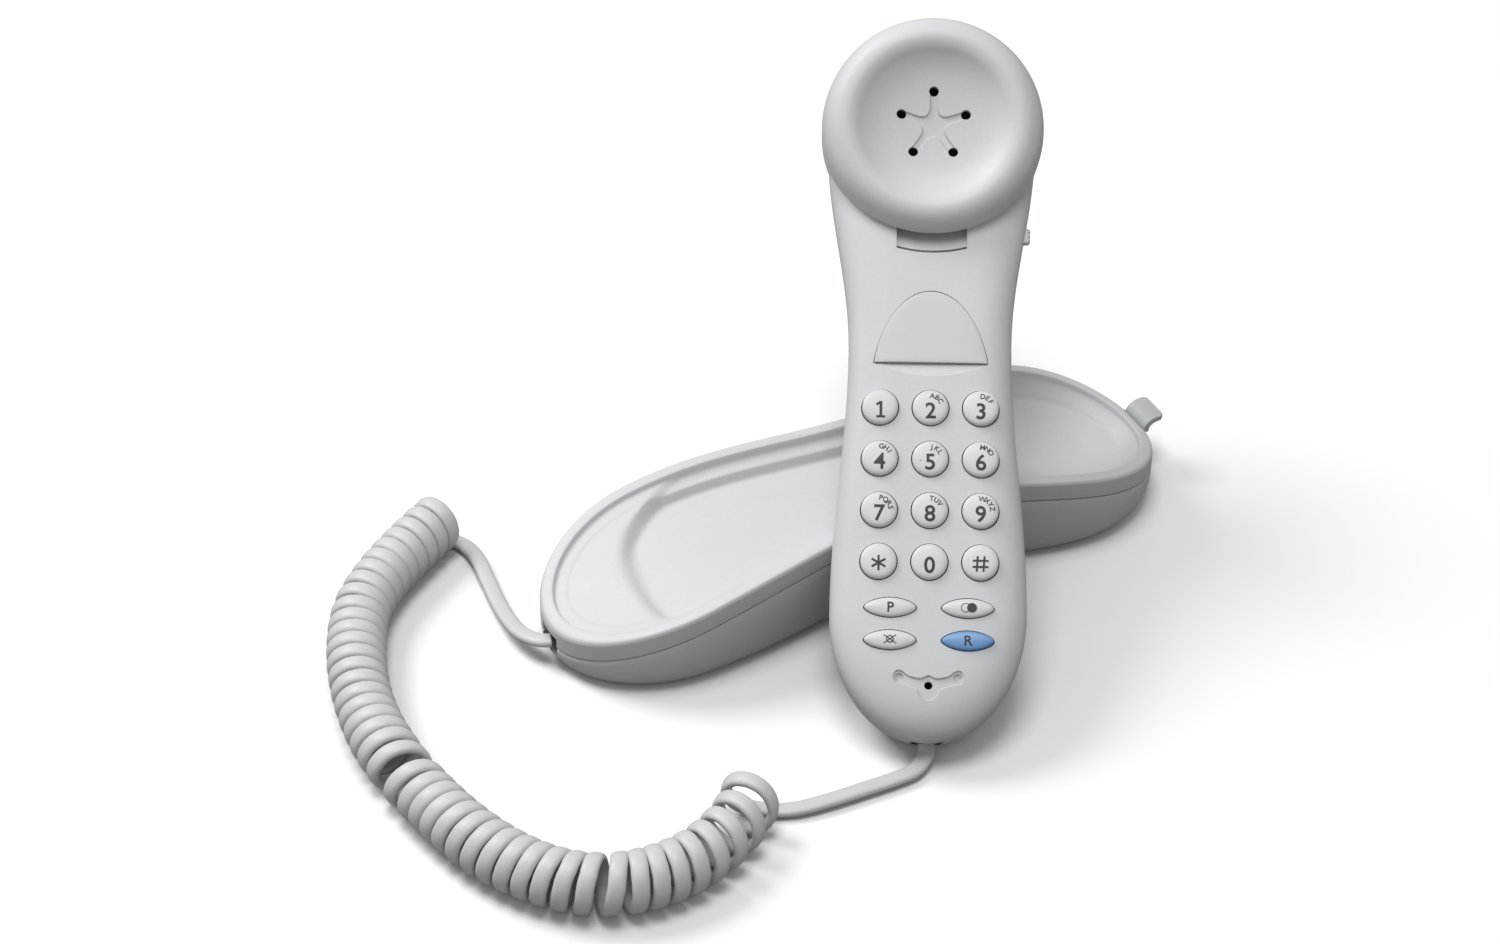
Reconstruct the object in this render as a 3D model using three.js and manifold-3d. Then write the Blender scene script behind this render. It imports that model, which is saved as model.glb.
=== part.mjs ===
// Slimline telephone: a boat-shaped wall or table base, a keypad handset leaning on the edge
// of the base, and the curly cord between them. Millimetres, +Z up, +X along the base
// towards its hook end. The finished group stands on the plane z = 0.
import * as THREE from 'three';
import { mergeVertices } from 'three/addons/utils/BufferGeometryUtils.js';
import Module from 'manifold-3d';

const wasm = await Module();
wasm.setup();

// ---------------------------------------------------------------- driving dimensions
const wall = 2.2;            // thickness of every moulded shell
const gap = 0.3;             // air between neighbouring pieces
const cordWidth = 4.8;       // flat cord, wide side
const cordThick = 2.6;       // flat cord, narrow side
const coilOuter = 16.6;      // outer diameter of the curly part of the cord

// A two-lobed plan outline: elliptical ends, a lobe at each end and a waist between them.
const base = {
  tail: -95, head: 95.5, tailLobe: -58.5, headLobe: 63.5, waist: 17,
  tailHalf: 29.2, headHalf: 29.6, waistHalf: 21.6,
};
const handset = {
  tail: -1.5, head: 197, tailLobe: 33, headLobe: 168.5, waist: 107,
  tailHalf: 26.4, headHalf: 28.8, waistHalf: 22.2,
};

const baseFloor = 1.2;       // underside of the tray above the table
const rimMiddle = 31.8;      // rim height at the middle of the base
const rimDrop = 18;          // how much lower the rim is at both ends
const lipDepth = 6.8;        // rim down to the seam between cradle and tray

const backSeam = 12;         // handset: back plane up to the seam between its shells
const faceTop = 23.4;        // handset: back plane up to the middle of the front face
const keyTravel = 1.2;       // how far a key goes in
const keyProud = 1.5;        // how far a key stands out of the face

const cup = { along: 169, height: 20, tilt: THREE.MathUtils.degToRad(10) };

// Where the handset leans: its foot on the table in front of the base, its back on the rim.
const lean = THREE.MathUtils.degToRad(34.4);
const heading = THREE.MathUtils.degToRad(-29.1);
const foot = new THREE.Vector3(-19.1, -75.8, -2.05);

const colours = {
  shell: [0xcfcec9, 0.55], key: [0xd6d5d1, 0.45],
  blueKey: [0x7f9fc0, 0.4], cord: [0xd2d1ce, 0.5], clear: [0xdfe6e8, 0.15],
  board: [0x2f6b45, 0.6], metal: [0x9a9a9a, 0.35, 1], dark: [0x2c2c2c, 0.7],
  rubber: [0x4a4a4a, 0.9], card: [0xe8e7e2, 0.8], hook: [0xc2c6bc, 0.5],
};

// ---------------------------------------------------------------- helpers
const phone = new THREE.Group();
const baseGroup = new THREE.Group();
const handsetGroup = new THREE.Group();
const lying = new THREE.Group();
handsetGroup.add(lying);
phone.add(baseGroup, handsetGroup);

function addPart(group, name, geometry, [colour, roughness, metalness = 0]) {
  const material = new THREE.MeshStandardMaterial({ color: colour, roughness, metalness });
  const mesh = new THREE.Mesh(geometry, material);
  mesh.name = name;
  group.add(mesh);
  return mesh;
}

function toSolid(geometry) {
  const bare = geometry.clone();
  for (const key of Object.keys(bare.attributes)) if (key !== 'position') bare.deleteAttribute(key);
  const merged = mergeVertices(bare, 1e-4);
  const index = merged.index.array;
  const corners = [];
  for (let i = 0; i < index.length; i += 3) {
    const [a, b, c] = [index[i], index[i + 1], index[i + 2]];
    if (a !== b && b !== c && c !== a) corners.push(a, b, c);
  }
  return new wasm.Manifold(new wasm.Mesh({
    numProp: 3,
    vertProperties: new Float32Array(merged.attributes.position.array),
    triVerts: new Uint32Array(corners),
  }));
}

function toGeometry(solid) {
  const mesh = solid.getMesh();
  const geometry = new THREE.BufferGeometry();
  geometry.setAttribute('position', new THREE.BufferAttribute(mesh.vertProperties, 3));
  geometry.setIndex(new THREE.BufferAttribute(mesh.triVerts, 1));
  return geometry;
}

function joined(first, ...rest) {
  return rest.reduce((sum, item) => sum.add(toSolid(item)), toSolid(first));
}

function cutFrom(solid, ...tools) {
  return tools.reduce((left, tool) => left.subtract(toSolid(tool)), solid);
}

function box(sizeX, sizeY, sizeZ, x, y, z) {
  return new THREE.BoxGeometry(sizeX, sizeY, sizeZ).translate(x, y, z);
}

// An upright round bar from z = low to z = high.
function post(radius, low, high, x, y, sides = 16) {
  return new THREE.CylinderGeometry(radius, radius, high - low, sides)
    .rotateX(Math.PI / 2).translate(x, y, (low + high) / 2);
}

// A turned solid about +Z from a list of [radius, height] corners.
function turned(profile, sides) {
  const points = profile.map(([radius, height]) => new THREE.Vector2(radius, height));
  return new THREE.LatheGeometry(points, sides).rotateX(Math.PI / 2);
}

// A flat outline pushed up from z = low to z = high.
function slab(shape, low, high) {
  return new THREE.ExtrudeGeometry(shape, { depth: high - low, bevelEnabled: false, curveSegments: 6 })
    .translate(0, 0, low);
}

const smooth = (value, from, to) => THREE.MathUtils.smoothstep(value, from, to);

// ---------------------------------------------------------------- two-lobed outline
const capSteps = 6;
const sideSteps = 9;

// One side of the outline from head to tail: position along, half-width, and the centre
// that an inset ring shrinks towards.
function outlineSide(o) {
  const side = [];
  for (let i = 0; i < capSteps; i++) {
    const turn = (i / capSteps) * Math.PI / 2;
    side.push({
      x: o.headLobe + (o.head - o.headLobe) * Math.cos(turn),
      y: o.headHalf * Math.sin(turn), centre: o.headLobe,
    });
  }
  for (let i = 0; i <= sideSteps; i++) {
    const x = THREE.MathUtils.lerp(o.headLobe, o.tailLobe, i / sideSteps);
    const lobe = x > o.waist ? o.headLobe : o.tailLobe;
    const half = x > o.waist ? o.headHalf : o.tailHalf;
    const part = (1 - Math.cos(Math.PI * (x - o.waist) / (lobe - o.waist))) / 2;
    side.push({ x, y: THREE.MathUtils.lerp(o.waistHalf, half, part), centre: x });
  }
  for (let i = 1; i <= capSteps; i++) {
    const turn = (i / capSteps) * Math.PI / 2;
    side.push({
      x: o.tailLobe + (o.tail - o.tailLobe) * Math.sin(turn),
      y: o.tailHalf * Math.cos(turn), centre: o.tailLobe,
    });
  }
  return side;
}

// The outline as one closed ring, shrunk by an inset in mm and then by a factor.
function outlineRing(o, inset, factor) {
  const side = outlineSide(o);
  const shrink = ({ x, y, centre }, sign) => {
    const reach = Math.hypot(x - centre, y);
    const scale = Math.max(0, 1 - inset / reach) * factor;
    return [centre + (x - centre) * scale, sign * y * scale];
  };
  const back = side.slice(1, -1).reverse().map((point) => shrink(point, -1));
  return [...side.map((point) => shrink(point, 1)), ...back];
}

// A closed skin through a list of rings {inset, factor, height(x)}, the first and the last
// of them collapsed onto the long axis.
function skin(o, rings) {
  const positions = [];
  const count = outlineRing(o, 0, 1).length;
  for (const { inset = 0, factor = 1, height } of rings) {
    for (const [x, y] of outlineRing(o, inset, factor)) positions.push(x, y, height(x));
  }
  const index = [];
  for (let ring = 0; ring + 1 < rings.length; ring++) {
    for (let i = 0; i < count; i++) {
      const a = ring * count + i;
      const b = ring * count + ((i + 1) % count);
      index.push(a, a + count, b, b, a + count, b + count);
    }
  }
  const geometry = new THREE.BufferGeometry();
  geometry.setAttribute('position', new THREE.Float32BufferAttribute(positions, 3));
  geometry.setIndex(index);
  return geometry;
}

// ---------------------------------------------------------------- base
const rimHeight = (x) => rimMiddle - rimDrop * Math.abs(x / base.head) ** 2.6;
const seamHeight = (x) => rimHeight(x) - lipDepth;

// Where the floor steps down behind the mouthpiece end, and where it falls into the ear bowl.
const mouthStep = [-74, -62];
const bowlStart = [34, 60];

// Depth below the rim at one ring, blended from the mouth end over the middle to the ear bowl.
function cradleDepth(mouth, middle, ear) {
  return (x) => {
    const floor = THREE.MathUtils.lerp(mouth, middle, smooth(x, ...mouthStep));
    return THREE.MathUtils.lerp(floor, ear, smooth(x, ...bowlStart));
  };
}

const cradleSteps = [
  { inset: 0, depth: cradleDepth(1.2, 1.2, 1.2) },
  { inset: 1.2, depth: cradleDepth(0, 0, 0) },
  { inset: 3.4, depth: cradleDepth(0.2, 0.2, 0.2) },
  { inset: 4.4, depth: cradleDepth(1.6, 2.6, 2.2) },
  { inset: 7.4, depth: cradleDepth(2.1, 3.6, 5.4) },
  { inset: 9, depth: cradleDepth(2.4, 6, 7) },
  { inset: 9, factor: 0.5, depth: cradleDepth(2.8, 6.2, 12) },
  { inset: 9, factor: 0, depth: cradleDepth(3, 6.2, 14) },
];

function cradleSkin() {
  const top = cradleSteps.map(({ inset, factor, depth }) => (
    { inset, factor, height: (x) => rimHeight(x) - depth(x) }));
  const under = cradleSteps.slice(3).map(({ inset, factor, depth }) => (
    { inset, factor, height: (x) => rimHeight(x) - depth(x) - wall }));
  under[0] = { inset: wall, height: (x) => rimHeight(x) - wall };
  return skin(base, [
    ...top.reverse(),
    { height: (x) => seamHeight(x) + gap },
    { inset: wall, height: (x) => seamHeight(x) + gap },
    ...under,
  ]);
}

function traySkin() {
  const inside = baseFloor + wall;
  return skin(base, [
    { inset: 12, factor: 0, height: () => inside },
    { inset: wall + 3, height: () => inside },
    { inset: wall + 0.2, height: (x) => THREE.MathUtils.lerp(baseFloor, seamHeight(x), 0.6) },
    { inset: wall, height: seamHeight },
    { inset: 0, height: seamHeight },
    { inset: 0.1, height: (x) => THREE.MathUtils.lerp(baseFloor, seamHeight(x), 0.55) },
    { inset: 1.2, height: () => baseFloor + 1.4 },
    { inset: 4, height: () => baseFloor },
    { inset: 12, factor: 0, height: () => baseFloor },
  ]);
}

const plug = { width: 7.6, height: 5.6, length: 14, out: 5 };
const jack = { width: 11, height: 8.4, length: 10.9 };

// A modular socket with its mouth at x = 0, facing -x, and the body behind it.
function modularSocket({ width, height, length }, bayWidth, bayHeight, bayDepth) {
  const body = toSolid(box(length, width, height, length / 2, 0, 0));
  return cutFrom(body, box(bayDepth + 1, bayWidth, bayHeight, bayDepth / 2 - 0.5, 0, 0));
}

// A modular plug with its cord end at x = 0 and its nose towards +x, with a latch on top.
function modularPlug() {
  const body = box(plug.length, plug.width, plug.height - 1, plug.length / 2, 0, -0.5);
  const latch = box(plug.length - 3, 3, 0.8, (plug.length - 3) / 2 + 1.5, 0, plug.height / 2 - 0.6);
  const cordEntry = box(3, cordWidth + 0.6, cordThick + 0.6, 1.5, 0, -0.5);
  return cutFrom(joined(body, latch), cordEntry.translate(-0.1, 0, 0));
}

const socketBay = [plug.width + 2 * gap, plug.height + 2 * gap, plug.length - plug.out + gap];
const baseJack = { x: base.tail + 6, z: baseFloor + wall + gap + jack.height / 2 };

const screwSpots = [[-70, 0, 4], [44, -14, 9]];   // x, y and the boss top below the rim
const boardPosts = [[-6, -13], [-6, 6], [34, -13], [34, 6]];
const boardUnder = 8;
const plungerX = 19;
const retainerX = 33;
const retainerWidth = 17;
const hookWidth = 10;
const ringerSwitch = { x: 34, z: 12 };
const lineSocket = { x: -24, z: 9.5, width: 12, depth: 13, height: 11 };
const sideWall = (x, o = base) => {
  const side = outlineSide(o);
  const after = side.findIndex((point) => point.x <= x);
  const [a, b] = [side[after - 1], side[after]];
  return THREE.MathUtils.lerp(a.y, b.y, (x - a.x) / (b.x - a.x));
};

// Tray: the lower shell with board posts, screw holes and the openings in its walls.
{
  const lineWall = sideWall(lineSocket.x);
  const posts = boardPosts.map(([x, y]) => post(2.2, baseFloor + 1, boardUnder - gap, x, y, 10));
  const sleeves = screwSpots.map(([x, y]) => post(5, baseFloor + 0.1, baseFloor + 5, x, y, 16));
  const solid = cutFrom(
    joined(traySkin(), ...posts, ...sleeves),
    ...screwSpots.map(([x, y]) => post(3.6, baseFloor - 1, baseFloor + 3, x, y)),
    ...screwSpots.map(([x, y]) => post(1.9, baseFloor, baseFloor + 6, x, y)),
    box(12, plug.width + 1.2, 20, base.tail - 1, 0, baseJack.z + 10 - plug.height / 2 - 0.6),
    box(lineSocket.width - 2, 12, lineSocket.height - 3, lineSocket.x, lineWall, lineSocket.z),
    box(9, 12, 4, ringerSwitch.x, sideWall(ringerSwitch.x), ringerSwitch.z),
  );
  addPart(baseGroup, 'base_tray', toGeometry(solid), colours.shell);
}

// Cradle: the upper shell with its trough, ear bowl, screw bosses and openings.
{
  const bosses = screwSpots.map(([x, y, below]) => (
    post(4, baseFloor + 5 + gap, rimHeight(x) - below, x, y, 14)));
  const solid = cutFrom(
    joined(cradleSkin(), ...bosses),
    ...screwSpots.map(([x, y]) => post(1.9, baseFloor + 4, baseFloor + 13, x, y)),
    box(10, 8, 12, plungerX, 0, 24),
    box(4 + 2 * gap, retainerWidth + 2 * gap, 14, retainerX, 0, 22),
    box(10, plug.width + 1.2, 6, base.tail - 1, 0, baseJack.z + plug.height / 2 - 2.4),
    box(3, hookWidth + 2 * gap, 2.4, base.head - 0.2, 0, rimHeight(base.head)),
  );
  addPart(baseGroup, 'base_cradle', toGeometry(solid), colours.shell);
}

// Parking hook: a tab that stands on the end of the rim and curls outwards.
{
  const side = new THREE.Shape();
  const root = rimHeight(base.head) - 0.9;
  const tip = base.head + 6.6;
  side.moveTo(base.head - 1.4, root);
  side.lineTo(base.head + 0.8, root);
  side.quadraticCurveTo(base.head + 1.6, root + 2.3, tip, root + 2.7);
  side.lineTo(tip, root + 4.4);
  side.quadraticCurveTo(base.head - 0.2, root + 4.6, base.head - 1.4, root);
  const geometry = slab(side, -hookWidth / 2, hookWidth / 2).rotateX(Math.PI / 2);
  addPart(baseGroup, 'park_hook', geometry, colours.hook);
}

// Retainer: the tongue that enters the pocket under the ear cup when the phone hangs.
addPart(baseGroup, 'handset_retainer', toGeometry(joined(
  box(4, retainerWidth, 10, retainerX, 0, 23),
  box(7, retainerWidth + 4, 2, retainerX, 0, 19),
)), colours.shell);

// Hook switch: a plunger through the cradle floor above the board.
addPart(baseGroup, 'hook_switch_plunger', toGeometry(joined(
  box(9.2, 7.2, 15, plungerX, 0, 21.5),
  box(12, 10, 2, plungerX, 0, 15),
)), colours.shell);

{
  const board = cutFrom(toSolid(box(48, 25, 1.6, 14, -3.5, boardUnder + 0.8)),
    ...boardPosts.map(([x, y]) => post(1, boardUnder - 1, boardUnder + 3, x, y, 8)));
  addPart(baseGroup, 'base_circuit_board', toGeometry(board), colours.board);
}

addPart(baseGroup, 'ringer_sounder', turned([
  [0, 0], [13, 0], [13, 7], [11, 8.5], [3, 8.5], [3, 7.5], [0, 7.5],
], 24).translate(-46, 0, baseFloor + wall + gap), colours.dark);

addPart(baseGroup, 'line_socket', toGeometry(modularSocket(
  { width: lineSocket.width, height: lineSocket.height, length: lineSocket.depth }, 9.6, 7, 9,
).rotate([0, 0, -90]).translate([
  lineSocket.x, sideWall(lineSocket.x) - 6.2, lineSocket.z,
])), colours.dark);

addPart(baseGroup, 'base_cord_socket', toGeometry(
  modularSocket(jack, ...socketBay).translate([baseJack.x, 0, baseJack.z]),
), colours.dark);

// Ringer switch: a small knob in the far side wall of the tray.
{
  const y = sideWall(ringerSwitch.x);
  addPart(baseGroup, 'ringer_switch_knob', toGeometry(joined(
    box(4, 8.6, 3, ringerSwitch.x - 2, y - 2.9, ringerSwitch.z),
    box(14, 1.6, 5, ringerSwitch.x - 2, y - 6.7, ringerSwitch.z),
  )), colours.dark);
}

screwSpots.forEach(([x, y], i) => addPart(baseGroup, `base_screw_${i + 1}`, turned([
  [0, 0], [3, 0], [3, 1.6], [1.5, 2.2], [1.5, 11], [0, 11.6],
], 12).translate(x, y, baseFloor + 0.4), colours.metal));

[[-66, 16], [-66, -16], [68, 17], [68, -17]].forEach(([x, y], i) => addPart(
  baseGroup, `base_foot_${i + 1}`, post(4.5, 0, baseFloor - gap, x, y, 16), colours.rubber,
));

// ---------------------------------------------------------------- handset
// Built lying on its back: +x along the handset from mouthpiece to ear cup, +y across it,
// +z out of the front face. Depths are measured below the middle of the front face.
const faceSteps = [
  { factor: 0, depth: 0 }, { factor: 0.5, depth: 0.25 }, { factor: 0.74, depth: 0.8 },
  { factor: 0.88, depth: 1.9 }, { factor: 0.965, depth: 4.4 }, { factor: 1, depth: 8 },
];

function frontSkin() {
  const top = faceSteps.map(({ factor, depth }) => ({ factor, height: () => faceTop - depth }));
  const under = faceSteps.slice(0, -1).reverse().map(({ factor, depth }) => (
    { inset: wall * 0.9, factor, height: () => faceTop - depth - wall + 0.2 }));
  return skin(handset, [
    ...top, { height: () => backSeam + gap }, { inset: wall, height: () => backSeam + gap }, ...under,
  ]);
}

function rearSkin() {
  return skin(handset, [
    { inset: 8, factor: 0, height: () => wall },
    { inset: 7.5, height: () => wall },
    { inset: wall + 0.5, height: () => 6.5 },
    { inset: wall, height: () => backSeam },
    { height: () => backSeam },
    { inset: 0.6, height: () => 6 },
    { inset: 2.6, height: () => 1.8 },
    { inset: 6.5, height: () => 0 },
    { inset: 8, factor: 0, height: () => 0 },
  ]);
}

// Ear cup profile, radius and height: the inside from the axis out, the foot, the outside back.
const cupProfile = [
  [0, 8], [11, 8.5], [19, 10.4], [21.8, 12.8], [24, 13], [27.2, 9.6], [28.4, 6], [28.4, -14],
  [30.6, -14], [30.6, 6.5], [29.7, 11], [27.1, 14.4], [24, 15.6], [21, 14.9], [18.6, 12.6],
  [11, 10.7], [0, 10.2],
];
const placeInCup = (geometry) => geometry
  .rotateY(-cup.tilt).translate(cup.along, 0, cup.height);

const keyRows = [88.3, 74, 59.7, 45.5];
const keyColumns = [13.55, 0, -13.55];
const keyNames = [['1', '2', '3'], ['4', '5', '6'], ['7', '8', '9'], ['star', '0', 'hash']];
const keyRadius = 4.85;
const roundKeys = keyNames.flatMap((names, row) => names.map((name, column) => (
  { name: `key_${name}`, x: keyRows[row], y: keyColumns[column] })));
const lensKeys = [
  { name: 'key_pause', x: 33, y: 10.3 }, { name: 'key_memory', x: 33, y: -10.3 },
  { name: 'key_mute', x: 24.2, y: 10.3 }, { name: 'key_recall', x: 24.2, y: -10.3 },
];
const lensLength = 13.8;
const lensWidth = 5.2;

const lensPower = 1.75;
const lensSteps = 28;

// An oval with narrow rounded ends, long way across the handset.
function lensShape(grow) {
  const swell = (value) => Math.sign(value) * Math.abs(value) ** (2 / lensPower);
  const points = Array.from({ length: lensSteps }, (_, i) => {
    const turn = (i / lensSteps) * 2 * Math.PI;
    return new THREE.Vector2((lensWidth / 2 + grow) * swell(Math.cos(turn)),
      (lensLength / 2 + grow) * swell(Math.sin(turn)));
  });
  return new THREE.Shape(points);
}

// The arched window of the name card, straight edge towards the keys.
const card = { low: 101.2, high: 121.4, half: 15.4 };
function archShape(grow) {
  const shape = new THREE.Shape();
  shape.moveTo(card.low - grow, -card.half - grow);
  shape.bezierCurveTo(card.high - 8, -card.half + 2, card.high + grow, -7, card.high + grow, 0);
  shape.bezierCurveTo(card.high + grow, 7, card.high - 8, card.half - 2, card.low - grow, card.half + grow);
  shape.lineTo(card.low - grow, -card.half - grow);
  return shape;
}

const pocket = { x: 137, length: 8.8, width: 19.2, floor: 18.6 };
const volume = { x: 141.7, z: 15.4 };
const volumeWall = sideWall(volume.x, handset);
const micSpot = { x: 12.2, radius: 4.2 };
const handsetScrews = [[20.8, 0], [127, 0]];
const handsetJack = { x: handset.tail + 6, z: 9.1, height: 7.2 };

// Front shell: the face with the ear cup, key holes, card window, pocket and sound holes.
{
  const cupWall = placeInCup(turned(cupProfile, 36));
  const belowSeam = box(80, 80, 40, cup.along, 0, backSeam + gap - 20);
  const pocketWalls = box(pocket.length + 3, pocket.width + 3, 5, pocket.x, 0, pocket.floor + 1.2);
  const bosses = handsetScrews.map(([x, y]) => post(3.4, backSeam + gap, faceTop - 1, x, y, 12));
  const opened = cutFrom(toSolid(frontSkin()),
    placeInCup(turned([[0, -16], [29.4, -16], [29.4, 20], [0, 20]], 36)));
  const whole = opened.add(cutFrom(toSolid(cupWall), belowSeam))
    .add(joined(pocketWalls, ...bosses));
  const ringOfHoles = Array.from({ length: 5 }, (_, i) => {
    const turn = (i / 5) * 2 * Math.PI;
    return placeInCup(post(1.35, 4, 20, 9.3 * Math.cos(turn), 9.3 * Math.sin(turn), 10));
  });
  const solid = cutFrom(whole,
    ...ringOfHoles,
    ...roundKeys.map(({ x, y }) => post(keyRadius + gap, faceTop - 5, faceTop + 1, x, y)),
    ...lensKeys.map(({ x, y }) => slab(lensShape(gap), faceTop - 5, faceTop + 1).translate(x, y, 0)),
    slab(archShape(gap), faceTop - 1.3, faceTop + 1),
    box(pocket.length, pocket.width, 8, pocket.x, 0, pocket.floor + 4),
    post(1.1, faceTop - 8, faceTop + 1, micSpot.x, 0, 10),
    ...handsetScrews.map(([x, y]) => post(1.6, backSeam - 1, backSeam + 7, x, y, 10)),
    box(8, 7, 3.2, volume.x, -volumeWall, volume.z),
    box(9, plug.width + 1.2, 2, handset.tail, 0, backSeam),
  );
  addPart(lying, 'handset_front_shell', toGeometry(solid), colours.shell);
}

// Rear shell: the back with its counterbored screw holes and the cord opening.
{
  const sleeves = handsetScrews.map(([x, y]) => post(5, 0.4, 6.5, x, y, 16));
  const solid = cutFrom(joined(rearSkin(), ...sleeves),
    ...handsetScrews.map(([x, y]) => post(3.6, -1, 4.2, x, y)),
    ...handsetScrews.map(([x, y]) => post(1.9, 0, 8, x, y)),
    box(12, plug.width + 1.2, 12, handset.tail, 0, handsetJack.z + 6 - plug.height / 2 - 0.6),
  );
  addPart(lying, 'handset_rear_shell', toGeometry(solid), colours.shell);
}

// Round keys: a flange under the face and a domed cap through it.
const flangeLow = faceTop - 6.2;
for (const { name, x, y } of roundKeys) {
  const top = faceTop - 0.25 + keyProud;
  addPart(lying, name, turned([
    [0, flangeLow], [keyRadius + 0.5, flangeLow], [keyRadius + 0.5, flangeLow + 0.8],
    [keyRadius, flangeLow + 0.8], [keyRadius, top - 0.7], [keyRadius - 0.8, top - 0.1], [0, top + 0.25],
  ], 16).translate(x, y, 0), colours.key);
}
for (const { name, x, y } of lensKeys) {
  const cap = slab(lensShape(0), flangeLow + 0.5, faceTop + 0.7);
  const crown = slab(lensShape(-0.7), faceTop + 0.2, faceTop + 1.1);
  const flange = slab(lensShape(0.5), flangeLow, flangeLow + 0.8);
  const colour = name === 'key_recall' ? colours.blueKey : colours.key;
  addPart(lying, name, toGeometry(joined(cap, crown, flange).translate([x, y, 0])), colour);
}

const keypadMiddle = 57;
const membraneTop = flangeLow - keyTravel - gap;
const bossHole = () => post(3.4 + gap, backSeam, faceTop, ...handsetScrews[0]);
addPart(lying, 'keypad_membrane', toGeometry(cutFrom(
  toSolid(box(78, 36, 1, keypadMiddle, 0, membraneTop - 0.5)), bossHole(),
)), colours.rubber);
addPart(lying, 'handset_circuit_board', toGeometry(cutFrom(
  toSolid(box(79, 36, 1.4, keypadMiddle, 0, membraneTop - 1 - gap - 0.7)), bossHole(),
)), colours.board);

addPart(lying, 'name_card', slab(archShape(-0.8), faceTop - 1, faceTop - 0.6), colours.card);
addPart(lying, 'name_card_window', slab(archShape(0), faceTop - 0.3, faceTop + 0.3), colours.clear);

addPart(lying, 'receiver_capsule', placeInCup(turned([
  [0, -1], [15, -1], [17, 1.5], [17, 6.5], [10, 7.2], [0, 7.2],
], 24)), colours.dark);
addPart(lying, 'microphone_capsule',
  post(micSpot.radius, 13, 18.6, micSpot.x, 0, 16), colours.dark);

addPart(lying, 'volume_slider', toGeometry(joined(
  box(4.2, 6.8, 2.6, volume.x - 1.4, 2.3 - volumeWall, volume.z),
  box(9, 1.4, 4.4, volume.x - 2.9, 5 - volumeWall, volume.z),
)), colours.shell);

addPart(lying, 'handset_cord_socket', toGeometry(
  modularSocket({ ...jack, height: handsetJack.height }, ...socketBay)
    .translate([handsetJack.x, 0, handsetJack.z]),
), colours.dark);

handsetScrews.forEach(([x, y], i) => addPart(lying, `handset_screw_${i + 1}`, turned([
  [0, 1.4], [3, 1.4], [3, 3], [1.3, 3.6], [1.3, 17], [0, 17.6],
], 12).translate(x, y, 0), colours.metal));

// Lay the handset along +y with its face up, then lean it against the rim of the base.
handsetGroup.rotation.set(lean, 0, heading, 'ZXY');
handsetGroup.position.copy(foot);
lying.rotation.z = Math.PI / 2;

// ---------------------------------------------------------------- cord
addPart(baseGroup, 'cord_plug_base',
  toGeometry(modularPlug()).translate(baseJack.x - plug.out, 0, baseJack.z), colours.clear);
addPart(lying, 'cord_plug_handset',
  toGeometry(modularPlug()).translate(handsetJack.x - plug.out, 0, handsetJack.z), colours.clear);
phone.updateMatrixWorld(true);

// A solid bar of round section along a smooth curve through [x, y, z] points.
function cordBar(radius, sides, steps, points) {
  const outline = new THREE.Shape(Array.from({ length: sides }, (_, i) => {
    const turn = ((i + 0.5) / sides) * 2 * Math.PI;
    return new THREE.Vector2(radius * Math.cos(turn), radius * Math.sin(turn));
  }));
  const extrudePath = new THREE.CatmullRomCurve3(points.map((point) => new THREE.Vector3(...point)));
  return new THREE.ExtrudeGeometry(outline, { steps, extrudePath, bevelEnabled: false });
}

const coilHeight = coilOuter / 2 + 0.1;
const tailRadius = 1.7;
const onTable = tailRadius + 0.3;

// The curly part lies on the table in one wide bend around the mouthpiece end of the base.
const coilRoute = [
  [-101, 59.5], [-114, 52], [-126.5, 43.5], [-136, 34], [-143.5, 20], [-148.5, 5], [-151, -10],
  [-151, -25], [-148.5, -42], [-144, -60], [-137.5, -74], [-128.5, -85], [-119, -91],
  [-109, -93.5], [-98, -93], [-87.5, -89.5], [-78.5, -84], [-72, -77.5],
].map(([x, y]) => [x, y, coilHeight]);
addPart(phone, 'cord_curl', cordBar(coilOuter / 2, 12, 48, coilRoute), colours.cord);

// Each plain end leaves its plug straight, drops to the table and runs round to the end of the curl.
const plugEnd = (x, z) => [x - plug.out - gap, 0, z - 0.5];
const baseExit = plugEnd(baseJack.x, baseJack.z);
const baseTail = [
  baseExit, [-97.8, 0.6, 6.7], [-100.4, 4, 4.8], [-101, 10, 2.6], [-100.2, 17, onTable],
  [-98.9, 26, onTable], [-97.4, 36, onTable], [-95.6, 46, onTable], [-91.5, 53, onTable],
  [-88.6, 59, onTable], [-89.6, 64, onTable], [-94.2, 64, onTable],
  [coilRoute[0][0] + 0.27, coilRoute[0][1] + 0.16, onTable + 0.1],
];
addPart(phone, 'cord_tail_base', cordBar(tailRadius, 8, 30, baseTail), colours.cord);

const outOfHandset = (distance) => lying
  .localToWorld(new THREE.Vector3(...plugEnd(handsetJack.x - distance, handsetJack.z))).toArray();
const coilEnd = coilRoute[coilRoute.length - 1];
const handsetTail = [
  outOfHandset(0), outOfHandset(2.6), [-28, -85.6, onTable], [-34, -86, onTable],
  [-44, -85.5, onTable], [-53, -82.5, onTable], [-59.5, -77, onTable], [-61.5, -71, onTable],
  [-65.5, -69.8, onTable], [coilEnd[0] + 0.25, coilEnd[1] + 0.3, onTable + 0.1],
];
addPart(phone, 'cord_tail_handset', cordBar(tailRadius, 8, 26, handsetTail), colours.cord);

// The origin is the middle of the footprint of base and handset, cord left out.
const footprint = new THREE.Box3();
phone.traverse((item) => {
  if (item.isMesh && !item.name.startsWith('cord_')) footprint.expandByObject(item, true);
});
const middle = footprint.getCenter(new THREE.Vector3());
phone.position.set(-middle.x, -middle.y, -footprint.min.z);

export default phone;
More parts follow.
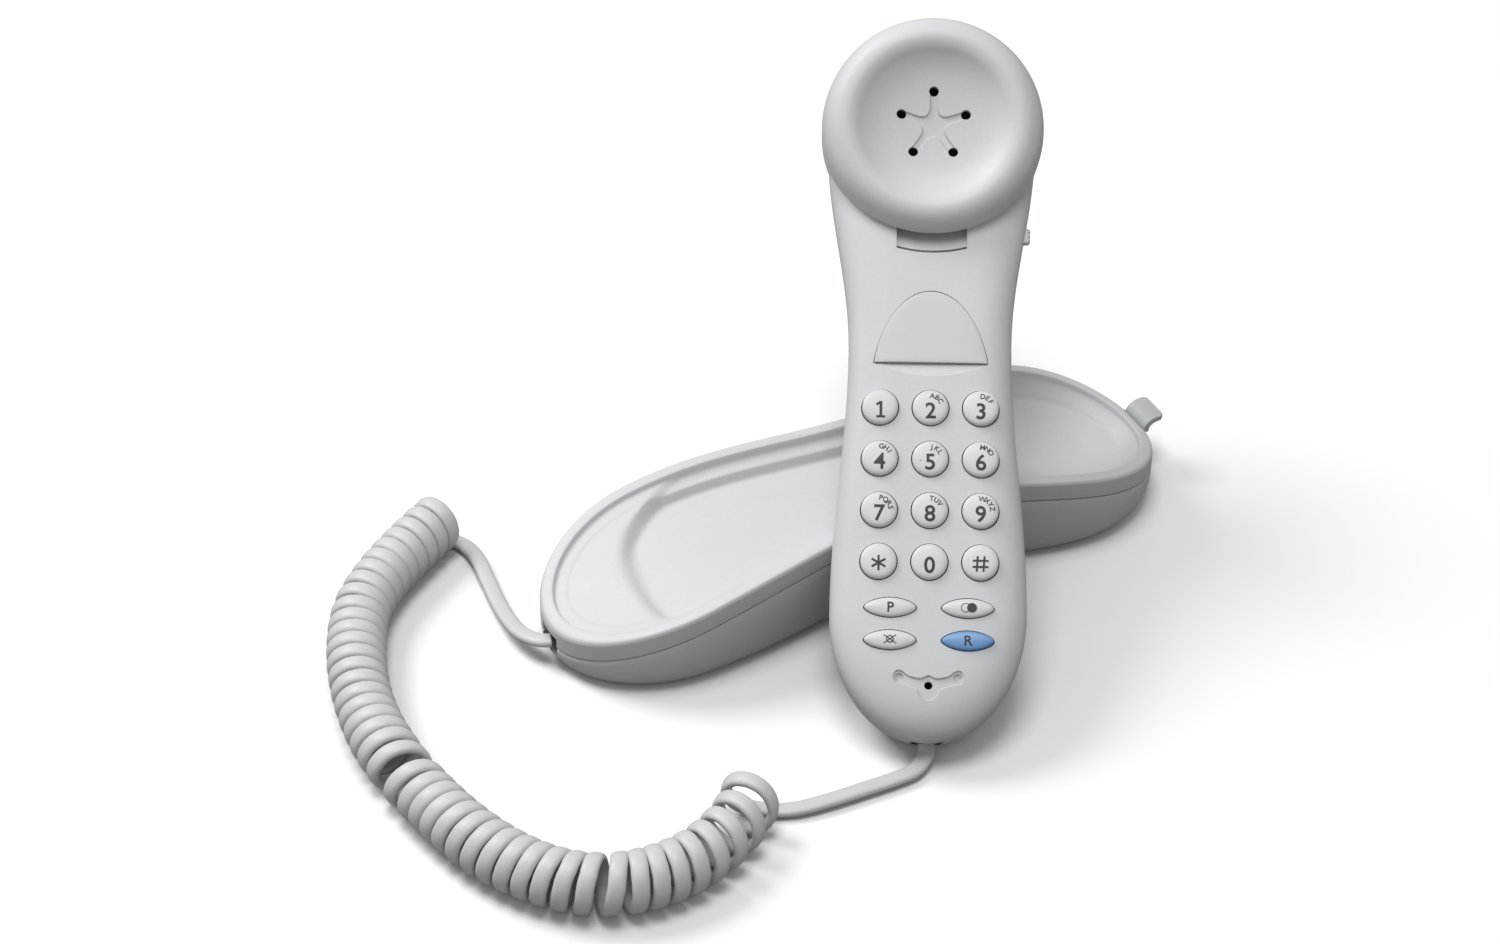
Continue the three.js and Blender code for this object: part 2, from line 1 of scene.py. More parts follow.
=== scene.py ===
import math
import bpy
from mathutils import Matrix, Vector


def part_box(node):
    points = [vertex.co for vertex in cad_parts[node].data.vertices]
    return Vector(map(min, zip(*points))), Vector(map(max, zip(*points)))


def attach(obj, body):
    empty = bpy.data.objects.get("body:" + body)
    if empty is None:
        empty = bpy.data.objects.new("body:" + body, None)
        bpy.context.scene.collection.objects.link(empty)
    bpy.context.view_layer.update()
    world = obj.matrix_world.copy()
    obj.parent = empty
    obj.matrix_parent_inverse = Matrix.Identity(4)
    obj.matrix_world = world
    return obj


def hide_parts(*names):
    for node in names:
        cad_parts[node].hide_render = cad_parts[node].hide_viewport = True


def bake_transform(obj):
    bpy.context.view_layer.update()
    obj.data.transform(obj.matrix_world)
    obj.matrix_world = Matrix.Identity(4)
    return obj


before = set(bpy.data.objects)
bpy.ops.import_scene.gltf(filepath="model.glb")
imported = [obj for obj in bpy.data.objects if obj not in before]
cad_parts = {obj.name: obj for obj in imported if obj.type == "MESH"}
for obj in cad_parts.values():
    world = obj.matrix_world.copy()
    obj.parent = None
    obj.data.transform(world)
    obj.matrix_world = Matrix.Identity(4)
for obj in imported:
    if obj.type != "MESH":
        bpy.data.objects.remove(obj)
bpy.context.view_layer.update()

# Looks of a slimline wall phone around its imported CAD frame. Every shape is drawn in millimetres
# in the base's own frame or the handset's own frame (x along it, y across it, z out of its face),
# and one matrix for each puts it in the shared frame, in metres.
from types import SimpleNamespace as Sizes

import bmesh
import bpy
from mathutils import Matrix, Vector

# ---------------------------------------------------------------- driving dimensions
MM = 0.001
WALL = 2.2                # moulded shells
GAP = 0.3                 # air between neighbouring pieces
CORD_WIDTH = 4.7          # flat cord, wide side
CORD_THICK = 2.6          # flat cord, narrow side
COIL_OUTER = 16.6         # outer diameter of the curly part

BASE = Sizes(tail=-95, head=95.5, tail_lobe=-58.5, head_lobe=63.5, waist=17,
             tail_half=29.2, head_half=29.6, waist_half=21.6)
HANDSET = Sizes(tail=-1.5, head=197, tail_lobe=33, head_lobe=168.5, waist=107,
                tail_half=26.4, head_half=28.8, waist_half=22.2)

BASE_FLOOR = 1.2          # underside of the tray above the table
RIM_MIDDLE = 31.8         # rim height at the middle of the base
RIM_DROP = 18             # how much lower the rim is at both ends
LIP = 6.8                 # rim down to the seam between cradle and tray
BACK_SEAM = 12            # handset: back plane up to the seam between its shells
FACE_TOP = 23.4           # handset: back plane up to the middle of the face
FACE_SIDE = 8             # how far the face falls away at its edge
KEY_RADIUS = 4.85
CUP = Sizes(along=169, height=20, tilt=math.radians(10))

# ---------------------------------------------------------------- frames of base and handset
tray_low, tray_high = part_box("base_tray")
base_origin = ((tray_high.x - BASE.head * MM), (tray_low.y + tray_high.y) / 2, 0)
BASE_FRAME = Matrix.Translation(base_origin) @ Matrix.Scale(MM, 4)
HANDSET_IN_BASE = (Matrix.Translation((-19.1, -75.8, -2.05))
                   @ Matrix.Rotation(math.radians(-29.1), 4, "Z")
                   @ Matrix.Rotation(math.radians(34.4), 4, "X")
                   @ Matrix.Rotation(math.radians(90), 4, "Z"))
HANDSET_FRAME = BASE_FRAME @ HANDSET_IN_BASE
CUP_PLACE = Matrix.Translation((CUP.along, 0, CUP.height)) @ Matrix.Rotation(-CUP.tilt, 4, "Y")


def lerp(a, b, t):
    return a + (b - a) * t


def smoothstep(value, start, end):
    t = min(1, max(0, (value - start) / (end - start)))
    return t * t * (3 - 2 * t)


def bump(value, centre, spread):
    return math.exp(-((value - centre) / spread) ** 2)


def new_object(name, data):
    made = bpy.data.objects.new(name, data)
    bpy.context.scene.collection.objects.link(made)
    return made


# ---------------------------------------------------------------- camera
def add_camera():
    data = bpy.data.cameras.new("camera")
    data.sensor_fit = "HORIZONTAL"
    data.sensor_width = 36
    data.lens = 81.6
    camera = new_object("camera", data)
    camera.location = (-0.3670, -0.6226, 0.6428)
    looks_at = Vector((-0.0121, 0.0563, 0))
    camera.rotation_euler = (looks_at - camera.location).to_track_quat("-Z", "Y").to_euler()
    bpy.context.scene.camera = camera


add_camera()


# ---------------------------------------------------------------- smooth curves
def catmull(rows, steps):
    """A smooth curve through rows of numbers, uniform, with `steps` pieces between two rows."""
    padded = [rows[0], *rows, rows[-1]]
    curve = []
    for a, b, c, d in zip(padded, padded[1:], padded[2:], padded[3:]):
        for i in range(steps):
            t = i / steps
            curve.append(tuple(
                0.5 * (2 * q + (r - p) * t + (2 * p - 5 * q + 4 * r - s) * t ** 2
                       + (3 * q - p - 3 * r + s) * t ** 3)
                for p, q, r, s in zip(a, b, c, d)))
    return curve + [tuple(rows[-1])]


def closed_catmull(points, steps):
    """The same through a closed loop of points."""
    count = len(points)
    loop = [points[(i - 1) % count] for i in range(count + 3)]
    return catmull(loop, steps)[steps:steps * (count + 1)]


def cord_curve(points, before, after, spacing):
    """Centripetal curve through points, with a guide point beyond each end."""
    guides = [Vector(p) for p in (before, *points, after)]
    curve = []
    for p0, p1, p2, p3 in zip(guides, guides[1:], guides[2:], guides[3:]):
        t0 = 0
        t1 = t0 + (p1 - p0).length ** 0.5
        t2 = t1 + (p2 - p1).length ** 0.5
        t3 = t2 + (p3 - p2).length ** 0.5
        steps = max(2, round((p2 - p1).length / spacing))
        for i in range(steps):
            t = lerp(t1, t2, i / steps)
            a1 = p0.lerp(p1, (t - t0) / (t1 - t0))
            a2 = p1.lerp(p2, (t - t1) / (t2 - t1))
            a3 = p2.lerp(p3, (t - t2) / (t3 - t2))
            b1 = a1.lerp(a2, (t - t0) / (t2 - t0))
            b2 = a2.lerp(a3, (t - t1) / (t3 - t1))
            curve.append(b1.lerp(b2, (t - t1) / (t2 - t1)))
    return curve + [Vector(points[-1])]


# ---------------------------------------------------------------- shapes: (points, faces)
def stack(rings, cap_ends=False):
    """A skin through rings of equally many points."""
    count = len(rings[0])
    points = [tuple(point) for ring in rings for point in ring]
    faces = []
    for ring in range(len(rings) - 1):
        for i in range(count):
            j = (i + 1) % count
            low, high = ring * count, (ring + 1) * count
            faces.append((low + i, low + j, high + j, high + i))
    if cap_ends:
        faces.append(tuple(range(count)))
        faces.append(tuple(range(len(points) - count, len(points))))
    return points, faces


def circle(radius, steps=48):
    turns = [2 * math.pi * i / steps for i in range(steps)]
    return [(radius * math.cos(turn), radius * math.sin(turn)) for turn in turns]


def flat(outline, height):
    return [(x, y, height) for x, y in outline]


def turned(profile, sides=64):
    """A turned shape about z from (radius, height) corners that start and end on the axis."""
    return stack([flat(circle(radius, sides), height) for radius, height in profile])


def post(radius, low, high, x, y, sides=48):
    return moved(turned([(0, low), (radius, low), (radius, high), (0, high)], sides), x, y)


def posts(radius, low, high, spots):
    """Upright posts, or holes when they are cut, at spots (x, y)."""
    return [post(radius, low, high, x, y) for x, y in spots]


def prism(outline, low, high):
    """A flat outline pushed up; low and high are heights or functions of x and y."""
    low = low if callable(low) else (lambda x, y, value=low: value)
    high = high if callable(high) else (lambda x, y, value=high: value)
    rings = [[(x, y, low(x, y)) for x, y in outline], [(x, y, high(x, y)) for x, y in outline]]
    return stack(rings, cap_ends=True)


def block(size_x, size_y, size_z, x, y, z):
    half_x, half_y = size_x / 2, size_y / 2
    corners = [(x - half_x, y - half_y), (x + half_x, y - half_y),
               (x + half_x, y + half_y), (x - half_x, y + half_y)]
    return prism(corners, z - size_z / 2, z + size_z / 2)


def moved(shape, x=0, y=0, z=0, matrix=None):
    matrix = matrix or Matrix.Translation((x, y, z))
    return [tuple(matrix @ Vector(point)) for point in shape[0]], shape[1]


def merge_specks(mesh):
    bmesh.ops.remove_doubles(mesh, verts=mesh.verts, dist=1e-4)
    bmesh.ops.dissolve_degenerate(mesh, edges=mesh.edges, dist=1e-4)


def solid(name, *shapes):
    """One object from shapes, its seams merged and its faces pointing out."""
    mesh = bmesh.new()
    for points, faces in shapes:
        corners = [mesh.verts.new(point) for point in points]
        for face in faces:
            mesh.faces.new([corners[i] for i in face])
    merge_specks(mesh)
    bmesh.ops.recalc_face_normals(mesh, faces=mesh.faces)
    data = bpy.data.meshes.new(name)
    mesh.to_mesh(data)
    mesh.free()
    return new_object(name, data)


def apply_modifiers(piece):
    """Applies the modifiers and merges the specks that a cut can leave."""
    depsgraph = bpy.context.evaluated_depsgraph_get()
    data = bpy.data.meshes.new_from_object(piece.evaluated_get(depsgraph))
    piece.modifiers.clear()
    piece.data = data
    mesh = bmesh.new()
    mesh.from_mesh(data)
    merge_specks(mesh)
    mesh.to_mesh(data)
    mesh.free()
    return piece


def combine(piece, operation, *shapes):
    """Cuts shapes from the piece (DIFFERENCE) or joins them to it (UNION)."""
    tool = solid("tool", *shapes)
    modifier = piece.modifiers.new("combine", "BOOLEAN")
    modifier.object = tool
    modifier.operation = operation
    modifier.solver = "EXACT"
    apply_modifiers(piece)
    bpy.data.objects.remove(tool)
    return piece


def cut(piece, *shapes):
    return combine(piece, "DIFFERENCE", *shapes)


def join(piece, *shapes):
    return combine(piece, "UNION", *shapes)


def soften(piece, width, segments=3, angle=35):
    """Rounds the sharp edges of a simple piece."""
    modifier = piece.modifiers.new("soften", "BEVEL")
    modifier.width = width
    modifier.segments = segments
    modifier.limit_method = "ANGLE"
    modifier.angle_limit = math.radians(angle)
    return apply_modifiers(piece)


def shade_smooth(piece, sharp):
    """Smooth faces, with a hard edge wherever two of them meet at more than `sharp` degrees."""
    for face in piece.data.polygons:
        face.use_smooth = True
    piece.data.set_sharp_from_angle(angle=math.radians(sharp))


def place(piece, place_frame, body, material, nodes=(), sharp=40):
    """Puts a finished piece in the shared frame, on its body, with its finish."""
    piece.data.transform(place_frame)
    shade_smooth(piece, sharp)
    piece.data.materials.clear()
    piece.data.materials.append(material)
    normals = piece.modifiers.new("normals", "WEIGHTED_NORMAL")
    normals.keep_sharp = True
    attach(piece, body)
    if nodes:
        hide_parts(*nodes)
    return piece


# ---------------------------------------------------------------- materials
def linear(code):
    """A colour written as hexadecimal sRGB, as linear numbers."""
    parts = [((code >> shift) & 255) / 255 for shift in (16, 8, 0)]
    return [p / 12.92 if p <= 0.04045 else ((p + 0.055) / 1.055) ** 2.4 for p in parts] + [1]


def surface(name, code, roughness, mottle=0.03, grain=0.02, grain_size=0.0004, **inputs):
    """A moulded surface: faint mottling, uneven gloss and a fine grain in the bump."""
    material = bpy.data.materials.new(name)
    material.use_nodes = True
    nodes, links = material.node_tree.nodes, material.node_tree.links
    shader = nodes["Principled BSDF"]
    for key, value in inputs.items():
        shader.inputs[key.replace("_", " ")].default_value = value
    where = nodes.new("ShaderNodeTexCoord")

    def noise(size, detail):
        node = nodes.new("ShaderNodeTexNoise")
        node.inputs["Scale"].default_value = 1 / size
        node.inputs["Detail"].default_value = detail
        links.new(where.outputs["Object"], node.inputs["Vector"])
        return node.outputs["Fac"]

    blotches, specks = noise(0.045, 3), noise(grain_size * 3, 2)
    colour = linear(code)
    ramp = nodes.new("ShaderNodeValToRGB")
    for element, position, change in zip(ramp.color_ramp.elements, (0.3, 0.7), (-mottle, mottle)):
        element.position = position
        element.color = [min(1, c * (1 + change)) for c in colour[:3]] + [1]
    both = nodes.new("ShaderNodeMix")
    both.inputs["Factor"].default_value = 0.45
    links.new(blotches, both.inputs["A"])
    links.new(specks, both.inputs["B"])
    links.new(both.outputs["Result"], ramp.inputs["Fac"])
    links.new(ramp.outputs["Color"], shader.inputs["Base Color"])
    gloss = nodes.new("ShaderNodeMapRange")
    gloss.inputs["To Min"].default_value = max(0, roughness - 0.06)
    gloss.inputs["To Max"].default_value = min(1, roughness + 0.06)
    links.new(noise(0.012, 4), gloss.inputs["Value"])
    links.new(gloss.outputs["Result"], shader.inputs["Roughness"])
    relief = nodes.new("ShaderNodeBump")
    relief.inputs["Strength"].default_value = 0.6
    relief.inputs["Distance"].default_value = grain * MM
    links.new(noise(grain_size, 2), relief.inputs["Height"])
    links.new(relief.outputs["Normal"], shader.inputs["Normal"])
    return material


SHELL = surface("shell_plastic", 0xC6C8CB, 0.5)
HOOK = surface("hook_plastic", 0xB3B8B5, 0.45)
KEY = surface("key_plastic", 0xCDCFD1, 0.42, grain=0.01)
BLUE = surface("blue_key_plastic", 0x6C95C6, 0.38, grain=0.01)
PRINT = surface("key_print", 0x26262A, 0.5, mottle=0.08, grain=0.005)
CORD = surface("cord_jacket", 0xC6C5C7, 0.45, mottle=0.025, grain=0.015)
DARK = surface("dark_plastic", 0x242424, 0.55, mottle=0.1)
FELT = surface("sound_felt", 0x1C1C1E, 0.95, mottle=0.3, grain=0.15, grain_size=0.0005)
RUBBER = surface("foot_rubber", 0x47474A, 0.85, mottle=0.12, grain=0.06)
MEMBRANE = surface("keypad_rubber", 0x6A6C70, 0.75, mottle=0.06)
BOARD = surface("circuit_board", 0x2F6B45, 0.42, mottle=0.35, grain=0.05, grain_size=0.0012)
CARD = surface("paper_card", 0xE6E7E8, 0.8, mottle=0.03, grain=0.02)
STEEL = surface("screw_steel", 0xA3A3A0, 0.32, mottle=0.1, Metallic=1.0)
GOLD = surface("contact_gold", 0xD9B25A, 0.25, mottle=0.06, Metallic=1.0)
CLEAR = surface("clear_plastic", 0xEEF3F4, 0.1, mottle=0.01, grain=0.004,
                Transmission_Weight=0.92, IOR=1.5)
WINDOW = surface("window_plastic", 0xD6D8DB, 0.34, mottle=0.01, grain=0.008,
                 Transmission_Weight=0.2, IOR=1.3)

# ---------------------------------------------------------------- cord
COIL_HEIGHT = COIL_OUTER / 2 + 0.1
COIL_RADIUS = (COIL_OUTER - CORD_THICK) / 2
TURN_PITCH = 4.98
TURN_POINTS = 30

COIL_ROUTE = [(x, y, COIL_HEIGHT) for x, y in [
    (-101, 59.5), (-114, 52), (-126.5, 43.5), (-136, 34), (-143.5, 20), (-148.5, 5), (-151, -10),
    (-151, -25), (-148.5, -42), (-144, -60), (-137.5, -74), (-128.5, -85), (-119, -91),
    (-109, -93.5), (-98, -93), (-87.5, -89.5), (-78.5, -84), (-72, -77.5)]]
BASE_TAIL = [(-94.3, 0, 7.4), (-96.6, 1.2, 7.2), (-98.6, 5, 6.2), (-99.6, 10.6, 4.6), (-99.4, 18, 3),
             (-98.7, 26, 2.1), (-97.4, 36, 2), (-96.2, 46, 2), (-96.8, 52, 1.8), (-98.6, 56.4, 1.5)]
HANDSET_EXIT = tuple(HANDSET_IN_BASE @ Vector((-0.8, 0, 8.6)))
HANDSET_OUT = tuple(HANDSET_IN_BASE @ Vector((-3.4, 0, 8.6)))
HANDSET_TAIL = [(-68.4, -80.6, 1.5), (-62.5, -83.4, 1.8), (-54, -84.8, 2), (-44, -85.5, 2),
                (-34, -86, 2), (-28, -85.6, 2), HANDSET_OUT, HANDSET_EXIT]


def opening(along):
    """How much wider than close-wound the turns are at a distance along the coil."""
    loose_middle = 0.95 * bump(along, 112, 5) + 0.7 * bump(along, 181, 2.5)
    return 1 + loose_middle + 0.6 * smoothstep(along, 196, 230) + 0.04 * math.sin(along / 5.3)


def coil():
    """The curly part: points on its helix and the coil's own direction at each of them."""
    axis = cord_curve(COIL_ROUTE, (-94, 63.5, COIL_HEIGHT), (-67, -71, COIL_HEIGHT), 1)
    places = [0]
    for a, b in zip(axis, axis[1:]):
        places.append(places[-1] + (b - a).length)
    # Turns counted along the axis, stretched a little so that a whole number of them fits.
    fine = 0.1
    steps = int(places[-1] / fine)
    counted = [0]
    for i in range(steps):
        counted.append(counted[-1] + fine / (TURN_PITCH * opening(i * fine)))
    turns = round(counted[-1])
    points, directions = [], []
    step = piece = 0
    for i in range(turns * TURN_POINTS + 1):
        wanted = i / TURN_POINTS * counted[-1] / turns
        while step < steps and counted[step] < wanted:
            step += 1
        along = min(step * fine, places[-1] - 1e-6)
        while places[piece + 1] < along:
            piece += 1
        share = (along - places[piece]) / (places[piece + 1] - places[piece])
        centre = axis[piece].lerp(axis[piece + 1], share)
        before, after = axis[max(0, piece - 2)], axis[min(len(axis) - 1, piece + 3)]
        forward = (after - before).normalized()
        side = forward.cross(Vector((0, 0, 1)))
        turn = 2 * math.pi * i / TURN_POINTS - math.pi / 2
        uneven = 1 + 0.012 * math.sin(along / 7.1) - 0.012
        radius = COIL_RADIUS * uneven
        out = side * math.cos(turn) + Vector((0, 0, math.sin(turn)))
        points.append(centre + out * radius)
        directions.append(forward)
    return points, directions


def sweep(path, wides, half_wide, half_thick, sides=16, power=2.5):
    """A flat oval section carried along the path, its wide side along `wides`."""
    rings = []
    for i, point in enumerate(path):
        tangent = (path[min(i + 1, len(path) - 1)] - path[max(i - 1, 0)]).normalized()
        wide = (wides[i] - tangent * wides[i].dot(tangent)).normalized()
        thin = tangent.cross(wide)
        ring = []
        for k in range(sides):
            turn = 2 * math.pi * k / sides
            across, up = (math.copysign(abs(v) ** (2 / power), v)
                          for v in (math.cos(turn), math.sin(turn)))
            ring.append(point + wide * (half_wide * across) + thin * (half_thick * up))
        rings.append(ring)
    return stack(rings, cap_ends=True)


def add_cord():
    winding, directions = coil()
    first = cord_curve([*BASE_TAIL, winding[0]], (-90, 0, 7.4), winding[2], 0.8)
    last = cord_curve([winding[-1], *HANDSET_TAIL], winding[-3],
                      tuple(HANDSET_IN_BASE @ Vector((4, 0, 8.6))), 0.8)
    path = first[:-1] + winding + last[1:]
    up = Vector((0, 0, 1))

    def level(points, i):
        ahead, behind = points[min(i + 1, len(points) - 1)], points[max(i - 1, 0)]
        return up.cross(ahead - behind).normalized()

    wides = [level(first, i) for i in range(len(first) - 1)] + directions
    wides += [level(last, i) for i in range(1, len(last))]
    cord = solid("curly_cord", sweep(path, wides, CORD_WIDTH / 2, CORD_THICK / 2))
    cord.data.transform(BASE_FRAME)
    shade_smooth(cord, 60)
    cord.data.materials.append(CORD)
    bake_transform(cord)
    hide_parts("cord_curl", "cord_tail_base", "cord_tail_handset")
    modular_plug("base_plug", BASE_FRAME, BASE_JACK, "base", "cord_plug_base")
    modular_plug("handset_plug", HANDSET_FRAME, HANDSET_JACK, "handset",
                                      "cord_plug_handset")


PLUG = Sizes(width=7.6, height=5.6, length=14, out=5, contacts=(-1.5, -0.5, 0.5, 1.5))
BASE_JACK = Sizes(x=BASE.tail + 6, z=7.9)
HANDSET_JACK = Sizes(x=HANDSET.tail + 6, z=9.1)


def modular_plug(name, place_frame, jack, body, node):
    """Clear four-way plug: body with a cord entry, a latch that springs off it, gold blades."""
    start = jack.x - PLUG.out
    top = jack.z + PLUG.height / 2 - 1
    piece = solid(name, block(PLUG.length, PLUG.width, PLUG.height - 1,
                              start + PLUG.length / 2, 0, jack.z - 0.5))
    cut(piece, block(3, CORD_WIDTH + 0.6, CORD_THICK + 0.6, start + 1.3, 0, jack.z - 0.5))
    slots = [block(3.4, 0.5, 1.6, start + PLUG.length - 1.6, y, top) for y in PLUG.contacts]
    cut(piece, *slots)
    latch = [(start + 1.5, top + 0.45), (start + 2.2, top + 1.2), (start + 11.5, top + 0.5),
             (start + PLUG.length - 1.2, top - 0.1), (start + 10.5, top - 0.1)]
    lever = [[(x, y, z) for x, z in latch] for y in (-1.5, 1.5)]
    join(piece, stack(lever, cap_ends=True))
    soften(piece, 0.25, 2)
    place(piece, place_frame, body, CLEAR, [node])
    blades = [block(2.8, 0.36, 1.5, start + PLUG.length - 1.6, y, top - 0.15) for y in PLUG.contacts]
    place(solid(name + "_blades", *blades), place_frame, body, GOLD)
    return piece


add_cord()


# ---------------------------------------------------------------- two-lobed shells
def half_width(o, x):
    """Half the outline's width at x."""
    if x > o.head_lobe:
        return o.head_half * math.sqrt(max(0, 1 - ((x - o.head_lobe) / (o.head - o.head_lobe)) ** 2))
    if x < o.tail_lobe:
        return o.tail_half * math.sqrt(max(0, 1 - ((x - o.tail_lobe) / (o.tail - o.tail_lobe)) ** 2))
    lobe, half = (o.head_lobe, o.head_half) if x > o.waist else (o.tail_lobe, o.tail_half)
    return lerp(o.waist_half, half, (1 - math.cos(math.pi * (x - o.waist) / (lobe - o.waist))) / 2)


def outline_side(o, cap_steps=26, side_steps=84):
    """One side from head to tail: x, y and the centre that a smaller ring shrinks towards."""
    side = []
    for i in range(cap_steps):
        turn = i / cap_steps * math.pi / 2
        x = o.head_lobe + (o.head - o.head_lobe) * math.cos(turn)
        side.append((x, o.head_half * math.sin(turn), o.head_lobe))
    for i in range(side_steps + 1):
        x = lerp(o.head_lobe, o.tail_lobe, i / side_steps)
        side.append((x, half_width(o, x), x))
    for i in range(1, cap_steps + 1):
        turn = i / cap_steps * math.pi / 2
        x = o.tail_lobe + (o.tail - o.tail_lobe) * math.sin(turn)
        side.append((x, o.tail_half * math.cos(turn), o.tail_lobe))
    return side


def skin(o, rings):
    """A closed skin through rings (inset, factor, height function of x and y)."""
    side = outline_side(o)
    mirrored = [(x, -y, centre) for x, y, centre in side[-2:0:-1]]
    layers = []
    for inset, factor, height in rings:
        layer = []
        for x, y, centre in side + mirrored:
            reach = math.hypot(x - centre, y)
            scale = max(0, 1 - inset / reach) * factor
            px, py = centre + (x - centre) * scale, y * scale
            layer.append((px, py, height(px, py)))
        layers.append(layer)
    return stack(layers)


def level_at(value):
    return lambda x, y: value


def rounded_side(power, seam_inset, turn_in, height_at):
    """Rings down a side that rounds in under the shell; height_at takes how far down, 0 to 1."""
    rings = []
    for i in range(15):
        turn = i / 14 * math.pi / 2
        down, out = math.sin(turn) ** (2 / power), math.cos(turn) ** (2 / power)
        rings.append((seam_inset * bump(i, 0, 0.4) + turn_in * (1 - out), 1, height_at(down)))
    return rings


# ---------------------------------------------------------------- base
def rim_height(x):
    return RIM_MIDDLE - RIM_DROP * abs(x / BASE.head) ** 2.6


def seam_height(x, y=0):
    return rim_height(x) - LIP


# Cradle surface from the rim inwards: inset, factor, and the depth below the rim at the
# mouthpiece end, in the middle and in the ear bowl.
CRADLE_ROWS = [
    (0, 1, 1.2, 1.2, 1.2), (0.35, 1, 0.35, 0.35, 0.35), (1.2, 1, 0, 0, 0), (3.3, 1, 0.15, 0.15, 0.15),
    (3.9, 1, 0.7, 0.9, 0.8), (4.5, 1, 1.7, 2.6, 2.4), (7.2, 1, 2.1, 3.5, 5.2), (8, 1, 2.3, 4.4, 6.0),
    (9, 1, 2.4, 6, 7), (9.6, 0.93, 2.5, 6.2, 8), (9, 0.7, 2.7, 6.2, 10.4), (9, 0.5, 2.8, 6.2, 12),
    (9, 0.25, 2.9, 6.2, 13.4), (9, 0, 3, 6.2, 14)]


def cradle_height(x, y, mouth, middle, ear):
    step = -71 + 0.0072 * (y + 10) ** 2 + 0.0006 * max(0, y) ** 3.2
    floor = lerp(mouth, middle, smoothstep(x, step - 1, step + 4))
    return rim_height(x) - lerp(floor, ear, smoothstep(x, 34, 60))


def cradle_ring(row, lower=0):
    inset, factor, mouth, middle, ear = row
    return (inset, factor, lambda x, y: cradle_height(x, y, mouth, middle, ear) - lower)


def cradle_shell():
    rows = catmull(CRADLE_ROWS, 4)
    rim_steps = 5 * 4
    outside = [(0, 1, lambda x, y: seam_height(x) + GAP + 0.45),
               (0.3, 1, lambda x, y: seam_height(x) + GAP),
               (WALL, 1, lambda x, y: seam_height(x) + GAP)]
    return solid("cradle_shell", skin(BASE, [
        *[cradle_ring(row) for row in reversed(rows)],
        *outside,
        (WALL, 1, lambda x, y: rim_height(x) - WALL),
        *[cradle_ring(row, WALL) for row in rows[rim_steps:]],
    ]))


def tray_shell():
    inside = BASE_FLOOR + WALL
    outer = rounded_side(2.6, 0.3, 5, lambda down: (
        lambda x, y: lerp(seam_height(x), BASE_FLOOR, down)))
    outer.insert(1, (0, 1, lambda x, y: seam_height(x) - 0.4))
    return solid("tray_shell", skin(BASE, [
        (12, 0, level_at(inside)), (WALL + 4, 1, level_at(inside)),
        (WALL + 1, 1, level_at(inside + 1.5)),
        (WALL + 0.2, 1, lambda x, y: lerp(BASE_FLOOR, seam_height(x), 0.6)),
        (WALL, 1, seam_height), *outer, (12, 0, level_at(BASE_FLOOR)),
    ]))


SCREWS = [(-70, 0, 5.6), (44, -14, 9)]      # x, y and the boss top below the rim
SCREW_SPOTS = [(x, y) for x, y, _ in SCREWS]
SCREW_HOLES = Sizes(sleeve=5, head=3.6, shank=1.9)      # radii
BOARD_POSTS = [(-6, -13), (-6, 6), (34, -13), (34, 6)]
PLUNGER_X = 19
RETAINER_X, RETAINER_WIDTH = 33, 17
HOOK_WIDTH = 10
RINGER = Sizes(x=34, z=12)
LINE = Sizes(x=-24, z=9.5, width=12, height=11)


